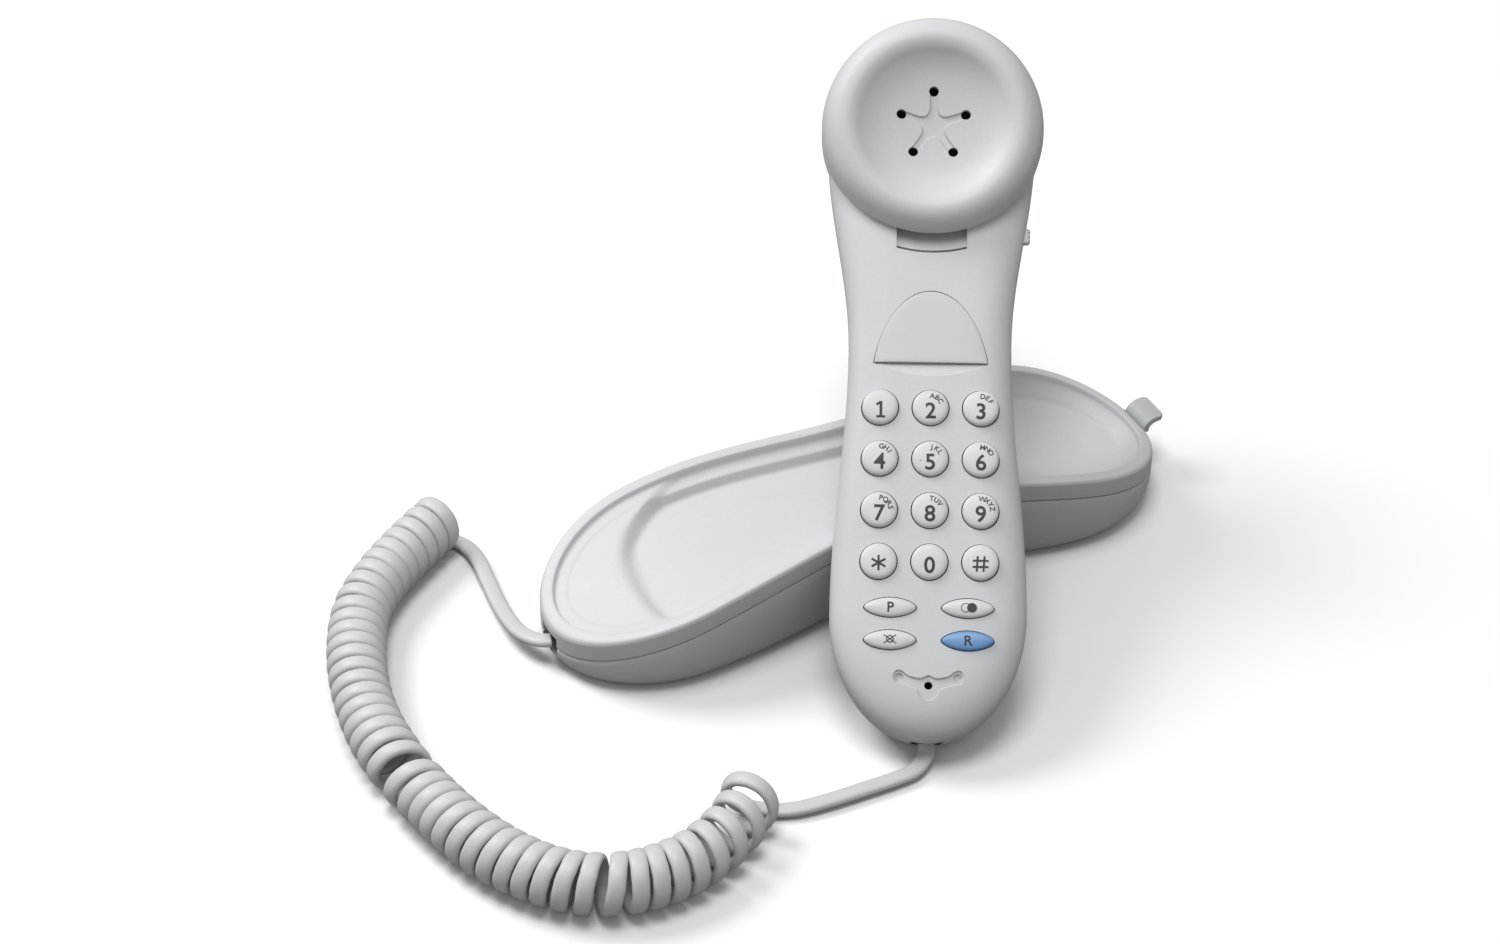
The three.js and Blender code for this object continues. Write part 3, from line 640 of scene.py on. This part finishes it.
def add_base():
    tray = tray_shell()
    join(tray, *posts(SCREW_HOLES.sleeve, BASE_FLOOR + 0.1, BASE_FLOOR + 5, SCREW_SPOTS),
         *posts(2.2, BASE_FLOOR + 1, 7.7, BOARD_POSTS))
    cut(tray, *posts(SCREW_HOLES.head, BASE_FLOOR - 1, BASE_FLOOR + 3, SCREW_SPOTS),
        block(12, PLUG.width + 1.2, 20, BASE.tail - 1, 0, BASE_JACK.z + 10 - PLUG.height / 2 - 0.6),
        block(LINE.width - 2, 12, LINE.height - 3, LINE.x, half_width(BASE, LINE.x), LINE.z),
        block(9, 12, 4, RINGER.x, half_width(BASE, RINGER.x), RINGER.z))
    cut(tray, *posts(SCREW_HOLES.shank, BASE_FLOOR - 2, BASE_FLOOR + 6, SCREW_SPOTS))
    place(tray, BASE_FRAME, "base", SHELL, ["base_tray"])

    cradle = cradle_shell()
    join(cradle, *[post(4, BASE_FLOOR + 5 + GAP, rim_height(x) - below - 0.6, x, y)
                   for x, y, below in SCREWS])
    cut(cradle, *posts(SCREW_HOLES.shank, BASE_FLOOR + 4, BASE_FLOOR + 13, SCREW_SPOTS),
        block(10, 8, 12, PLUNGER_X, 0, 24),
        block(4 + 2 * GAP, RETAINER_WIDTH + 2 * GAP, 14, RETAINER_X, 0, 22),
        block(10, PLUG.width + 1.2, 6, BASE.tail - 1, 0, BASE_JACK.z + PLUG.height / 2 - 2.4),
        block(3, HOOK_WIDTH + 2 * GAP, 2.4, BASE.head - 0.2, 0, rim_height(BASE.head)))
    place(cradle, BASE_FRAME, "base", SHELL, ["base_cradle"])

    add_hook()
    retainer = join(solid("retainer_tongue", block(7, RETAINER_WIDTH + 4, 2, RETAINER_X, 0, 19)),
                    block(4, RETAINER_WIDTH, 9.8, RETAINER_X, 0, 23))
    place(soften(retainer, 0.7), BASE_FRAME, "base", SHELL, ["handset_retainer"])
    plunger = join(solid("hook_plunger", block(12, 10, 2, PLUNGER_X, 0, 15)),
                   block(9.2, 7.2, 14.8, PLUNGER_X, 0, 21.4))
    place(soften(plunger, 0.9), BASE_FRAME, "hook_switch", SHELL,
          ["hook_switch_plunger"])
    for number, (x, y) in enumerate([(-66, 16), (-66, -16), (68, 17), (68, -17)], 1):
        foot = turned([(0, 0.15), (3, 0), (4, 0), (4.35, 0.12), (4.5, 0.45), (4.5, 0.9), (0, 0.9)])
        place(solid(f"rubber_foot_{number}", moved(foot, x, y)), BASE_FRAME, "base", RUBBER,
              [f"base_foot_{number}"])
    for number, (x, y, _) in enumerate(SCREWS, 1):
        add_screw(f"tray_screw_{number}", x, y, BASE_FLOOR + 0.4, 1.5, 11.6, BASE_FRAME, "base",
                  f"base_screw_{number}")
    y = half_width(BASE, RINGER.x)
    add_slide_knob("ringer_knob", BASE_FRAME, "ringer_switch", DARK,
                   "ringer_switch_knob",
                   block(14, 1.6, 5, RINGER.x - 2, y - 6.7, RINGER.z),
                   block(4, 8.6, 3, RINGER.x - 2, y - 2.9, RINGER.z),
                   [block(0.45, 0.6, 3.4, RINGER.x - 2 + step, y + 1.25, RINGER.z)
                    for step in (-1.2, 0, 1.2)])


def add_hook():
    """Parking hook: a tab on the end of the rim that curls outwards to a rounded lip."""
    root = rim_height(BASE.head) - 0.9
    root_half, lip_half = 1.0, 0.75         # half thickness
    middle = catmull([(BASE.head - 0.3, root), (BASE.head + 0.4, root + 1.9),
                      (BASE.head + 2.4, root + 3.2), (BASE.head + 5.8, root + 3.4)], 6)
    profile = []
    for sign in (1, -1):
        line = middle if sign == 1 else middle[::-1]
        for i, (x, z) in enumerate(line):
            share = i / (len(line) - 1) if sign == 1 else 1 - i / (len(line) - 1)
            half = lerp(root_half, lip_half, share)
            a, b = line[max(i - 1, 0)], line[min(i + 1, len(line) - 1)]
            length = math.hypot(b[0] - a[0], b[1] - a[1])
            profile.append((x - (b[1] - a[1]) / length * half, z + (b[0] - a[0]) / length * half))
    rings = []
    for i in range(13):
        y = lerp(-HOOK_WIDTH / 2, HOOK_WIDTH / 2, i / 12)
        edge = abs(y) / (HOOK_WIDTH / 2)
        pull = 1.6 * edge ** 6
        rings.append([(min(x, BASE.head + 6.4 - pull), y, z) for x, z in profile])
    hook = soften(solid("park_hook_tab", stack(rings, cap_ends=True)), 0.35, 2, 50)
    place(hook, BASE_FRAME, "base", HOOK, ["park_hook"])


def add_screw(name, x, y, low, shank, length, place_frame, body, node):
    """Cross-head screw, head down."""
    profile = [(0, 0), (1.6, 0.05), (2.6, 0.35), (3, 0.9), (3, 1.6), (shank, 2.2)]
    thread = 0
    while 2.4 + thread < length - 1.4:
        profile += [(shank, 2.4 + thread), (shank * 0.8, 2.75 + thread)]
        thread += 0.7
    profile += [(shank * 0.8, length - 1), (0, length)]
    screw = solid(name, moved(turned(profile, 32), x, y, low))
    cut(screw, block(3.4, 0.7, 1.8, x, y, low))
    cut(screw, block(0.7, 3.4, 1.8, x, y, low))
    place(screw, place_frame, body, STEEL, [node])


def add_slide_knob(name, place_frame, body, material, node, plate, stem, ribs):
    """A sliding knob: a plate behind the wall, a stem through it and grip ribs on the stem."""
    knob = join(solid(name, plate), stem)
    soften(knob, 0.35, 2)
    join(knob, *ribs)
    place(knob, place_frame, body, material, [node])


add_base()


# ---------------------------------------------------------------- handset shells
def fall(share, power=6):
    """0 in the middle of a crowned face, 1 at its edge, and steep only near the edge."""
    return 1 - math.sqrt(max(0, 1 - min(1, share) ** power))


def face_height(x, y):
    """Height of the crowned front face."""
    o = HANDSET
    if x > o.head_lobe:
        share = math.hypot((x - o.head_lobe) / (o.head - o.head_lobe), y / o.head_half)
    elif x < o.tail_lobe:
        share = math.hypot((x - o.tail_lobe) / (o.tail - o.tail_lobe), y / o.tail_half)
    else:
        share = abs(y) / half_width(o, x)
    return FACE_TOP - FACE_SIDE * fall(share)


def front_shell():
    shares = [0, 0.15, 0.3, 0.42] + [
        math.cos(math.radians(90 - turn)) ** (1 / 3) for turn in range(6, 90, 4)] + [1]
    face = [(0, share, level_at(FACE_TOP - FACE_SIDE * fall(share))) for share in shares]
    side = [(0, 1, level_at(BACK_SEAM + GAP + 0.4)), (0.25, 1, level_at(BACK_SEAM + GAP)),
            (WALL, 1, level_at(BACK_SEAM + GAP))]
    under = [(WALL, share, level_at(FACE_TOP - WALL - 7 * fall(share)))
             for share in reversed(shares[:-1])]
    return skin(HANDSET, [*face, *side, *under])


def rear_shell():
    outer = rounded_side(2.2, 0.25, 7, lambda down: level_at(BACK_SEAM * (1 - down)))
    outer.insert(1, (0, 1, level_at(BACK_SEAM - 0.4)))
    return skin(HANDSET, [(8, 0, level_at(WALL)), (7.5, 1, level_at(WALL)),
                          (WALL + 0.5, 1, level_at(6.5)), (WALL, 1, level_at(BACK_SEAM)),
                          *outer, (8, 0, level_at(0))])


# Ear cup, radius and height: the inside from the axis out to the seam, then the outside back.
CUP_INSIDE = [(0, 8), (11, 8.5), (19, 10.4), (21.8, 12.8), (24, 13), (27.2, 9.6), (28.4, 6), (28.4, -14)]
CUP_OUTSIDE = [(30.6, -14), (30.6, 0), (30.55, 4.5), (30.1, 9), (28.9, 12.4), (26.6, 14.8), (23.9, 15.5),
               (21.4, 14.9), (19.2, 13.3), (16.6, 11.95), (13.6, 11.1), (9, 10.55), (4, 10.25), (0, 10.2)]


def dish_height(radius):
    """Height of the dish inside the cup."""
    rows = CUP_OUTSIDE[-4:][::-1]
    for (r0, h0), (r1, h1) in zip(rows, rows[1:]):
        if radius <= r1:
            return lerp(h0, h1, (radius - r0) / (r1 - r0))
    return rows[-1][1]


STAR = Sizes(reach=9.3, arm=1.15, corner=5.2, depth=0.7, draft=0.4)


def star_outline():
    """Five arms with parallel sides, joined by rounded inside corners."""
    outline = []
    for k in range(5):
        turn = 2 * math.pi * k / 5
        here = [(STAR.corner, -1), (STAR.reach, -1), (STAR.reach, 1), (STAR.corner, 1)]
        for along, sign in here:
            outline.append((along * math.cos(turn) - sign * STAR.arm * math.sin(turn),
                            along * math.sin(turn) + sign * STAR.arm * math.cos(turn)))
        start = outline[-1]
        follow = turn + 2 * math.pi / 5
        end = (STAR.corner * math.cos(follow) + STAR.arm * math.sin(follow),
               STAR.corner * math.sin(follow) - STAR.arm * math.cos(follow))
        inner = STAR.arm / math.sin(math.pi / 5)
        middle = (inner * math.cos(turn + math.pi / 5), inner * math.sin(turn + math.pi / 5))
        for i in range(1, 8):
            t = i / 8
            outline.append(tuple((1 - t) ** 2 * a + 2 * t * (1 - t) * b + t ** 2 * c
                                 for a, b, c in zip(start, middle, end)))
    return outline


def inset(outline, distance):
    """The outline, anticlockwise, moved inwards."""
    moved_in = []
    for i, (x, y) in enumerate(outline):
        (x0, y0), (x1, y1) = outline[i - 1], outline[(i + 1) % len(outline)]
        length = math.hypot(x1 - x0, y1 - y0)
        moved_in.append((x - (y1 - y0) / length * distance, y + (x1 - x0) / length * distance))
    return moved_in


def shrunk(outline, centre, share):
    """The outline scaled about a centre."""
    cx, cy = centre
    return [(cx + (x - cx) * share, cy + (y - cy) * share) for x, y in outline]


def raised(outline, surface_height, rise):
    """The outline laid on a surface and lifted by `rise`."""
    return [(x, y, surface_height(x, y) + rise) for x, y in outline]


def fan_recess(outline, centre, surface_height, depth, draft=0.0):
    """A cutter for a recess whose walls lean in by `draft` and whose floor follows the surface."""
    top = raised([centre] * len(outline), surface_height, 1.5)
    foot = inset(outline, draft)
    floor = [raised(shrunk(foot, centre, share), surface_height, -depth)
             for share in (1, 0.8, 0.6, 0.4, 0.2, 0)]
    return stack([top, raised(outline, surface_height, 1.5), raised(outline, surface_height, 0.05),
                  *floor])


# Relief around the sound hole: half of a winged outline, mirrored for the other half.
MIC_WING = [(14.1, 2.1), (14.7, 5.2), (16.0, 7.0), (16.1, 8.6), (14.4, 9.5), (12.6, 8.8),
            (12.1, 6.9), (11.0, 3.4), (9.6, 2.5), (8.3, 1.3)]
MIC_HOLE = Sizes(x=12.2, radius=1.1)
MIC_RELIEF = Sizes(centre=(12.6, 0), depth=0.7, draft=0.3)


def mic_outline():
    mirrored = [(x, -y) for x, y in reversed(MIC_WING)]
    return closed_catmull([(14.9, 0), *MIC_WING, (8.0, 0), *mirrored], 5)


POCKET = Sizes(x=137, length=8.8, width=19.2, slit=0.9, slit_depth=4.7, key_depth=0.9, cup_depth=3.2)


def pocket_tool():
    """Pocket below the cup: a slit along its curved edge, and a floor that falls towards the cup."""
    half = POCKET.width / 2
    far = POCKET.x + POCKET.length / 2
    above, slit_floor = FACE_TOP + 1, FACE_TOP - POCKET.slit_depth
    sections = []
    for i in range(17):
        y = lerp(-half, half, i / 16)
        edge = POCKET.x - POCKET.length / 2 + 1.3 * (y / half) ** 2
        inner = edge + POCKET.slit
        corners = [(edge, above), (edge, slit_floor), (inner, slit_floor),
                   (inner, FACE_TOP - POCKET.key_depth), (far, FACE_TOP - POCKET.cup_depth), (far, above)]
        sections.append([(x, y, z) for x, z in corners])
    return stack(sections, cap_ends=True)


CARD_SIZE = Sizes(low=101.2, high=121.4, half=15.4, centre=(111, 0))


def bezier(a, b, c, d, steps=18):
    curve = []
    for i in range(steps):
        t = i / steps
        curve.append(tuple((1 - t) ** 3 * p + 3 * t * (1 - t) ** 2 * q + 3 * t ** 2 * (1 - t) * r
                           + t ** 3 * s for p, q, r, s in zip(a, b, c, d)))
    return curve


def arch(grow):
    """Outline of the name window, straight towards the keys."""
    low, high, half = CARD_SIZE.low - grow, CARD_SIZE.high + grow, CARD_SIZE.half
    ends = half + grow
    base_line = [(low, lerp(ends, -ends, i / 12)) for i in range(12)]
    return base_line + bezier((low, -ends), (CARD_SIZE.high - 8, 2 - half), (high, -7), (high, 0)) \
        + bezier((high, 0), (high, 7), (CARD_SIZE.high - 8, half - 2), (low, ends))


def finger_notch():
    """Crescent scoop below the window for a fingernail."""
    straight = [(CARD_SIZE.low + 0.4, lerp(-15.2, 15.2, i / 20)) for i in range(21)]
    edge = CARD_SIZE.low - 0.32
    bow = [(edge - 3.6 * (1 - (y / 15.5) ** 2), y)
           for y in (lerp(15.3, -15.3, i / 20) for i in range(21))]
    outline = straight + bow
    lid = flat(outline, FACE_TOP + 1.5)
    floor = raised(straight, face_height, -1.2) \
        + [(lerp(x, edge, 0.14), y * 0.985, face_height(x, y) - 0.45) for x, y in bow]
    return stack([lid, raised(outline, face_height, 0.05), floor], cap_ends=True)


LENS = Sizes(length=13.8, width=5.2, power=1.75)


def lens_outline(grow=0.0, steps=56):
    """An oval with narrow rounded ends, long way across the handset."""
    outline = []
    for i in range(steps):
        turn = 2 * math.pi * i / steps
        x, y = (math.copysign(abs(v) ** (2 / LENS.power), v) for v in (math.cos(turn), math.sin(turn)))
        outline.append(((LENS.width / 2 + grow) * x, (LENS.length / 2 + grow) * y))
    return outline


def at(outline, x, y):
    return [(x + px, y + py) for px, py in outline]


KEY_ROWS = [88.3, 74, 59.7, 45.5]
KEY_COLUMNS = [13.55, 0, -13.55]
KEYS = [["1", "2", "3"], ["4", "5", "6"], ["7", "8", "9"], ["star", "0", "hash"]]
ROUND_KEYS = [(name, x, y) for names, x in zip(KEYS, KEY_ROWS) for name, y in zip(names, KEY_COLUMNS)]
LENS_KEYS = [("pause", 33, 10.3), ("memory", 33, -10.3), ("mute", 24.2, 10.3), ("recall", 24.2, -10.3)]
HANDSET_SCREWS = [(20.8, 0), (127, 0)]
VOLUME = Sizes(x=141.7, z=15.4)


def add_handset():
    front = solid("handset_front", front_shell())
    cut(front, moved(post(29.4, -16, 20, 0, 0, 96), matrix=CUP_PLACE))
    profile = CUP_INSIDE + catmull(CUP_OUTSIDE, 4)
    cup = solid("ear_cup", moved(turned(profile, 144), matrix=CUP_PLACE))
    cut(cup, block(90, 90, 40, CUP.along, 0, BACK_SEAM + GAP - 20))
    cup_shape = ([tuple(v.co) for v in cup.data.vertices], [tuple(p.vertices) for p in cup.data.polygons])
    bpy.data.objects.remove(cup)
    join(front, cup_shape)
    join(front, block(POCKET.length + 3, POCKET.width + 3, 5.5, POCKET.x, 0, FACE_TOP - 3.4),
         *posts(3.4, BACK_SEAM + GAP, FACE_TOP - 1, HANDSET_SCREWS))
    star = fan_recess(star_outline(), (0, 0), lambda x, y: dish_height(math.hypot(x, y)),
                      STAR.depth, STAR.draft)
    wall = half_width(HANDSET, VOLUME.x)
    cut(front, moved(star, matrix=CUP_PLACE),
        *[post(KEY_RADIUS + GAP, FACE_TOP - 5, FACE_TOP + 1, x, y) for _, x, y in ROUND_KEYS],
        *[prism(at(lens_outline(GAP), x, y), FACE_TOP - 5, FACE_TOP + 1) for _, x, y in LENS_KEYS],
        fan_recess(arch(0.25), CARD_SIZE.centre, face_height, 1.3),
        fan_recess(mic_outline(), MIC_RELIEF.centre, face_height, MIC_RELIEF.depth,
                   MIC_RELIEF.draft),
        pocket_tool(),
        *posts(1.6, BACK_SEAM - 1, BACK_SEAM + 7, HANDSET_SCREWS),
        block(8, 7, 3.2, VOLUME.x, -wall, VOLUME.z),
        block(9, PLUG.width + 1.2, 2, HANDSET.tail, 0, BACK_SEAM))
    cut(front, finger_notch(),
        post(MIC_HOLE.radius, FACE_TOP - 8, FACE_TOP + 1, MIC_HOLE.x, 0, 32),
        *[moved(ball(1.2, 0.6), 14.3, side * 7.7, face_height(15.2, 7.7) - 0.85) for side in (-1, 1)],
        *[moved(post(1.35, 4, 20, x, y, 32), matrix=CUP_PLACE) for x, y in circle(STAR.reach, 5)])
    cut(front, moved(ball(2.6, 0.5), 10.9, 0, face_height(10.9, 0) - 0.6))
    place(front, HANDSET_FRAME, "handset", SHELL, ["handset_front_shell"], 32)

    rear = solid("handset_rear", rear_shell())
    join(rear, *posts(SCREW_HOLES.sleeve, 0.4, 6.5, HANDSET_SCREWS))
    cut(rear, *posts(SCREW_HOLES.head, -1, 4.2, HANDSET_SCREWS),
        block(12, PLUG.width + 1.2, 12, HANDSET.tail, 0, HANDSET_JACK.z + 6 - PLUG.height / 2 - 0.6))
    cut(rear, *posts(SCREW_HOLES.shank, -2, 8, HANDSET_SCREWS))
    place(rear, HANDSET_FRAME, "handset", SHELL, ["handset_rear_shell"])

    for number, (x, y) in enumerate(HANDSET_SCREWS, 1):
        add_screw(f"back_screw_{number}", x, y, 1.4, 1.3, 16.2, HANDSET_FRAME, "handset",
                  f"handset_screw_{number}")
    add_window()
    add_slide_knob("volume_knob", HANDSET_FRAME, "volume_control", SHELL,
                   "volume_slider",
                   block(9, 1.4, 4.4, VOLUME.x - 2.9, 5 - wall, VOLUME.z),
                   block(4.2, 6.6, 2.6, VOLUME.x - 1.4, 2.4 - wall, VOLUME.z),
                   [block(0.5, 0.5, 2.9, VOLUME.x - 1.4 + step, -0.9 - wall, VOLUME.z)
                    for step in (-1.3, 0, 1.3)])


def ball(radius, flatten=1.0, rows=14):
    profile = [(radius * math.sin(math.pi * i / rows), -radius * flatten * math.cos(math.pi * i / rows))
               for i in range(rows + 1)]
    return turned(profile, 32)


def add_window():
    """Name window: a thin milky pane, all but flush with the face, over its blank card."""
    under = [(share, -0.3) for share in (0, 0.5, 1)]
    edge = [(1, -0.02), (0.985, 0.08)]
    over = [(share, 0.1) for share in (0.9, 0.75, 0.6, 0.45, 0.3, 0.15, 0)]
    layers = [raised(shrunk(arch(0), CARD_SIZE.centre, share), face_height, rise)
              for share, rise in under + edge + over]
    place(solid("name_window", stack(layers)), HANDSET_FRAME, "card_window", WINDOW,
          ["name_card_window"], 60)


add_handset()

# ---------------------------------------------------------------- keys and their prints
FLANGE_LOW = FACE_TOP - 6.2
PRINT_THICK = 0.16
DIGIT = Sizes(height=4.5, v=-0.95)
LETTER = Sizes(height=1.45, radius=3.15)    # in an arc over the digit
LETTERS = dict(zip("23456789", "ABC DEF GHI JKL MNO PQRS TUV WXYZ".split()))


def round_top(u, v):
    share = min(1, math.hypot(u, v) / KEY_RADIUS)
    return FACE_TOP + 1.5 - 0.22 * share ** 2 - 0.9 * fall(share, 9)


def lens_top(u, v):
    across, along = abs(v) / (LENS.width / 2), abs(u) / (LENS.length / 2)
    share = min(1, (across ** LENS.power + along ** LENS.power) ** (1 / LENS.power))
    return FACE_TOP + 1.1 - 0.3 * share ** 2 - 0.7 * fall(share, 8)


def key_cap(outline, flange, top):
    """A cap on a flange: outline points are (towards the ear, across)."""
    flange_top = FLANGE_LOW + 0.8
    layers = [[(0, 0, FLANGE_LOW)] * len(outline), flat(flange, FLANGE_LOW), flat(flange, flange_top),
              flat(outline, flange_top)]
    for share in (1, 0.999, 0.99, 0.975, 0.95, 0.92, 0.88, 0.82, 0.74, 0.6, 0.45, 0.3, 0.15, 0):
        layers.append([(x * share, y * share, top(y * share, x * share)) for x, y in outline])
    return stack(layers)


def text_shape(words, height, u=0.0, v=0.0, turn=0.0):
    """Generic letters as thin solids; u is to the reader's right and v up, in millimetres."""
    curve = bpy.data.curves.new("words", "FONT")
    curve.body = words
    curve.size = height / 0.729
    curve.align_x = "CENTER"
    curve.extrude = PRINT_THICK / 2
    curve.offset = 0.02 * height
    curve.resolution_u = 4
    letters = new_object("words", curve)
    depsgraph = bpy.context.evaluated_depsgraph_get()
    mesh = bpy.data.meshes.new_from_object(letters.evaluated_get(depsgraph))
    points = [tuple(vertex.co) for vertex in mesh.vertices]
    faces = [tuple(face.vertices) for face in mesh.polygons]
    bpy.data.objects.remove(letters)
    spin = Matrix.Translation((u, v, 0)) @ Matrix.Rotation(turn, 4, "Z") \
        @ Matrix.Translation((0, -height / 2, 0))
    return moved((points, faces), matrix=spin)


def bar(length, width, u=0.0, v=0.0, turn=0.0):
    """A stroke of a sign, cut in short lengths so that it follows the key's crown."""
    steps = 5
    outline = [(lerp(-length / 2, length / 2, i / steps), -width / 2) for i in range(steps + 1)]
    outline += [(x, width / 2) for x, _ in reversed(outline)]
    spin = Matrix.Translation((u, v, 0)) @ Matrix.Rotation(turn, 4, "Z")
    return moved(prism(outline, -PRINT_THICK / 2, PRINT_THICK / 2), matrix=spin)


def ring(radius, width, u=0.0, v=0.0):
    low, high = -PRINT_THICK / 2, PRINT_THICK / 2
    inner, outer = circle(radius - width / 2, 32), circle(radius + width / 2, 32)
    layers = [flat(inner, low), flat(outer, low), flat(outer, high), flat(inner, high),
              flat(inner, low)]
    return moved(stack(layers), u, v)


def disc(radius, u=0.0, v=0.0):
    return moved(prism(circle(radius, 32), -PRINT_THICK / 2, PRINT_THICK / 2), u, v)


def key_print(name):
    """The shapes printed on one key."""
    diagonal = math.radians(35)
    if name == "star":
        return [bar(4.2, 0.56, 0, -0.7, math.radians(90 + 60 * k)) for k in range(3)]
    if name == "hash":
        return [bar(4.2, 0.52, 0, -0.6 + side * 0.85) for side in (-1, 1)] \
            + [bar(4.2, 0.52, side * 0.9, -0.6, math.radians(86)) for side in (-1, 1)]
    if name in ("pause", "recall"):
        return [text_shape("P" if name == "pause" else "R", 2.8)]
    if name == "memory":
        return [ring(1.2, 0.17, -0.62, 0), disc(1.3, 1.05, 0)]
    if name == "mute":
        return [ring(0.9, 0.25), bar(4, 0.25, 0, 0, diagonal), bar(4, 0.25, 0, 0, -diagonal)]
    if name == "1":
        stem = bar(DIGIT.height, 0.72, 0.15, DIGIT.v, math.radians(90))
        flag = bar(1.5, 0.6, -0.45, 0.75, diagonal)
        foot = bar(2.4, 0.55, 0.15, -2.95)
        return [stem, flag, foot]
    shapes = [text_shape(name, DIGIT.height, 0, DIGIT.v)]
    for i, letter in enumerate(LETTERS.get(name, "")):
        turn = math.radians(8 + 25 * i)
        shapes.append(text_shape(letter, LETTER.height, LETTER.radius * math.sin(turn),
                                 LETTER.radius * math.cos(turn), -turn))
    return shapes


def add_key(name, x, y, outline, flange, top, material):
    body, node = f"key_{name}_body", f"key_{name}"
    place(solid(f"cap_{name}", moved(key_cap(outline, flange, top), x, y)), HANDSET_FRAME, body,
          material, [node], 50)
    shapes = []
    for points, faces in key_print(name):
        shapes.append(([(x + v, y - u, top(u, v) + w) for u, v, w in points], faces))
    if name == "5":
        pip = moved(ball(0.3, 0.8, 8), x - 0.6, y + 2.7, top(2.7, 0.6))
        place(solid("pip_5", pip), HANDSET_FRAME, body, KEY)
    place(solid(f"print_{name}", *shapes), HANDSET_FRAME, body, PRINT)


for key_name, key_x, key_y in ROUND_KEYS:
    add_key(key_name, key_x, key_y, circle(KEY_RADIUS), circle(KEY_RADIUS + 0.5), round_top, KEY)
for key_name, key_x, key_y in LENS_KEYS:
    blue = key_name == "recall"
    add_key(key_name, key_x, key_y, lens_outline(), lens_outline(0.5), lens_top,
            BLUE if blue else KEY)

# ---------------------------------------------------------------- CAD nodes that stay
NODE_FINISHES = [
    (BOARD, "circuit_board", ["base_circuit_board", "handset_circuit_board"]),
    (DARK, "dark_plastic", ["ringer_sounder", "line_socket", "base_cord_socket", "handset_cord_socket"]),
    (MEMBRANE, "keypad_rubber", ["keypad_membrane"]),
    (CARD, "paper_card", ["name_card"]),
    (FELT, "dark_plastic", ["receiver_capsule", "microphone_capsule"]),
]
for node_material, node_slot, node_names in NODE_FINISHES:
    for node_name in node_names:
        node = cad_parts[node_name]
        node.data.materials.clear()
        node.data.materials.append(node_material)


# ---------------------------------------------------------------- studio
def add_floor():
    bpy.ops.mesh.primitive_plane_add(size=8)
    floor = bpy.context.object
    floor.name = "studio_floor"
    material = surface("floor_paper", 0xF7F7F7, 0.9, mottle=0.005)
    # White to the camera and dark to every other ray, so that little light comes up under the sides.
    nodes, links = material.node_tree.nodes, material.node_tree.links
    seen, tone = nodes.new("ShaderNodeLightPath"), nodes.new("ShaderNodeMapRange")
    tone.inputs["To Min"].default_value = 0.24
    tone.inputs["To Max"].default_value = 0.93
    links.new(seen.outputs["Is Camera Ray"], tone.inputs["Value"])
    links.new(tone.outputs["Result"], nodes["Principled BSDF"].inputs["Base Color"])
    floor.data.materials.append(material)


def add_light(name, location, aim, size, power):
    data = bpy.data.lights.new(name, "AREA")
    data.shape = "DISK"
    data.size = size
    data.energy = power
    light = new_object(name, data)
    light.location = location
    light.rotation_euler = (Vector(aim) - light.location).to_track_quat("-Z", "Y").to_euler()


def add_studio():
    world = bpy.data.worlds.new("studio")
    bpy.context.scene.world = world
    world.use_nodes = True
    background = world.node_tree.nodes["Background"]
    background.inputs["Color"].default_value = (1, 1, 1, 1)
    background.inputs["Strength"].default_value = 0.4
    add_light("back_left", (-0.6, 0.9, 1.2), (0, 0, 0.03), 0.8, 15)
    add_light("top", (-0.15, -0.1, 1.6), (0, 0, 0), 0.7, 11)
    bpy.context.scene.view_settings.view_transform = "Standard"


add_floor()
add_studio()
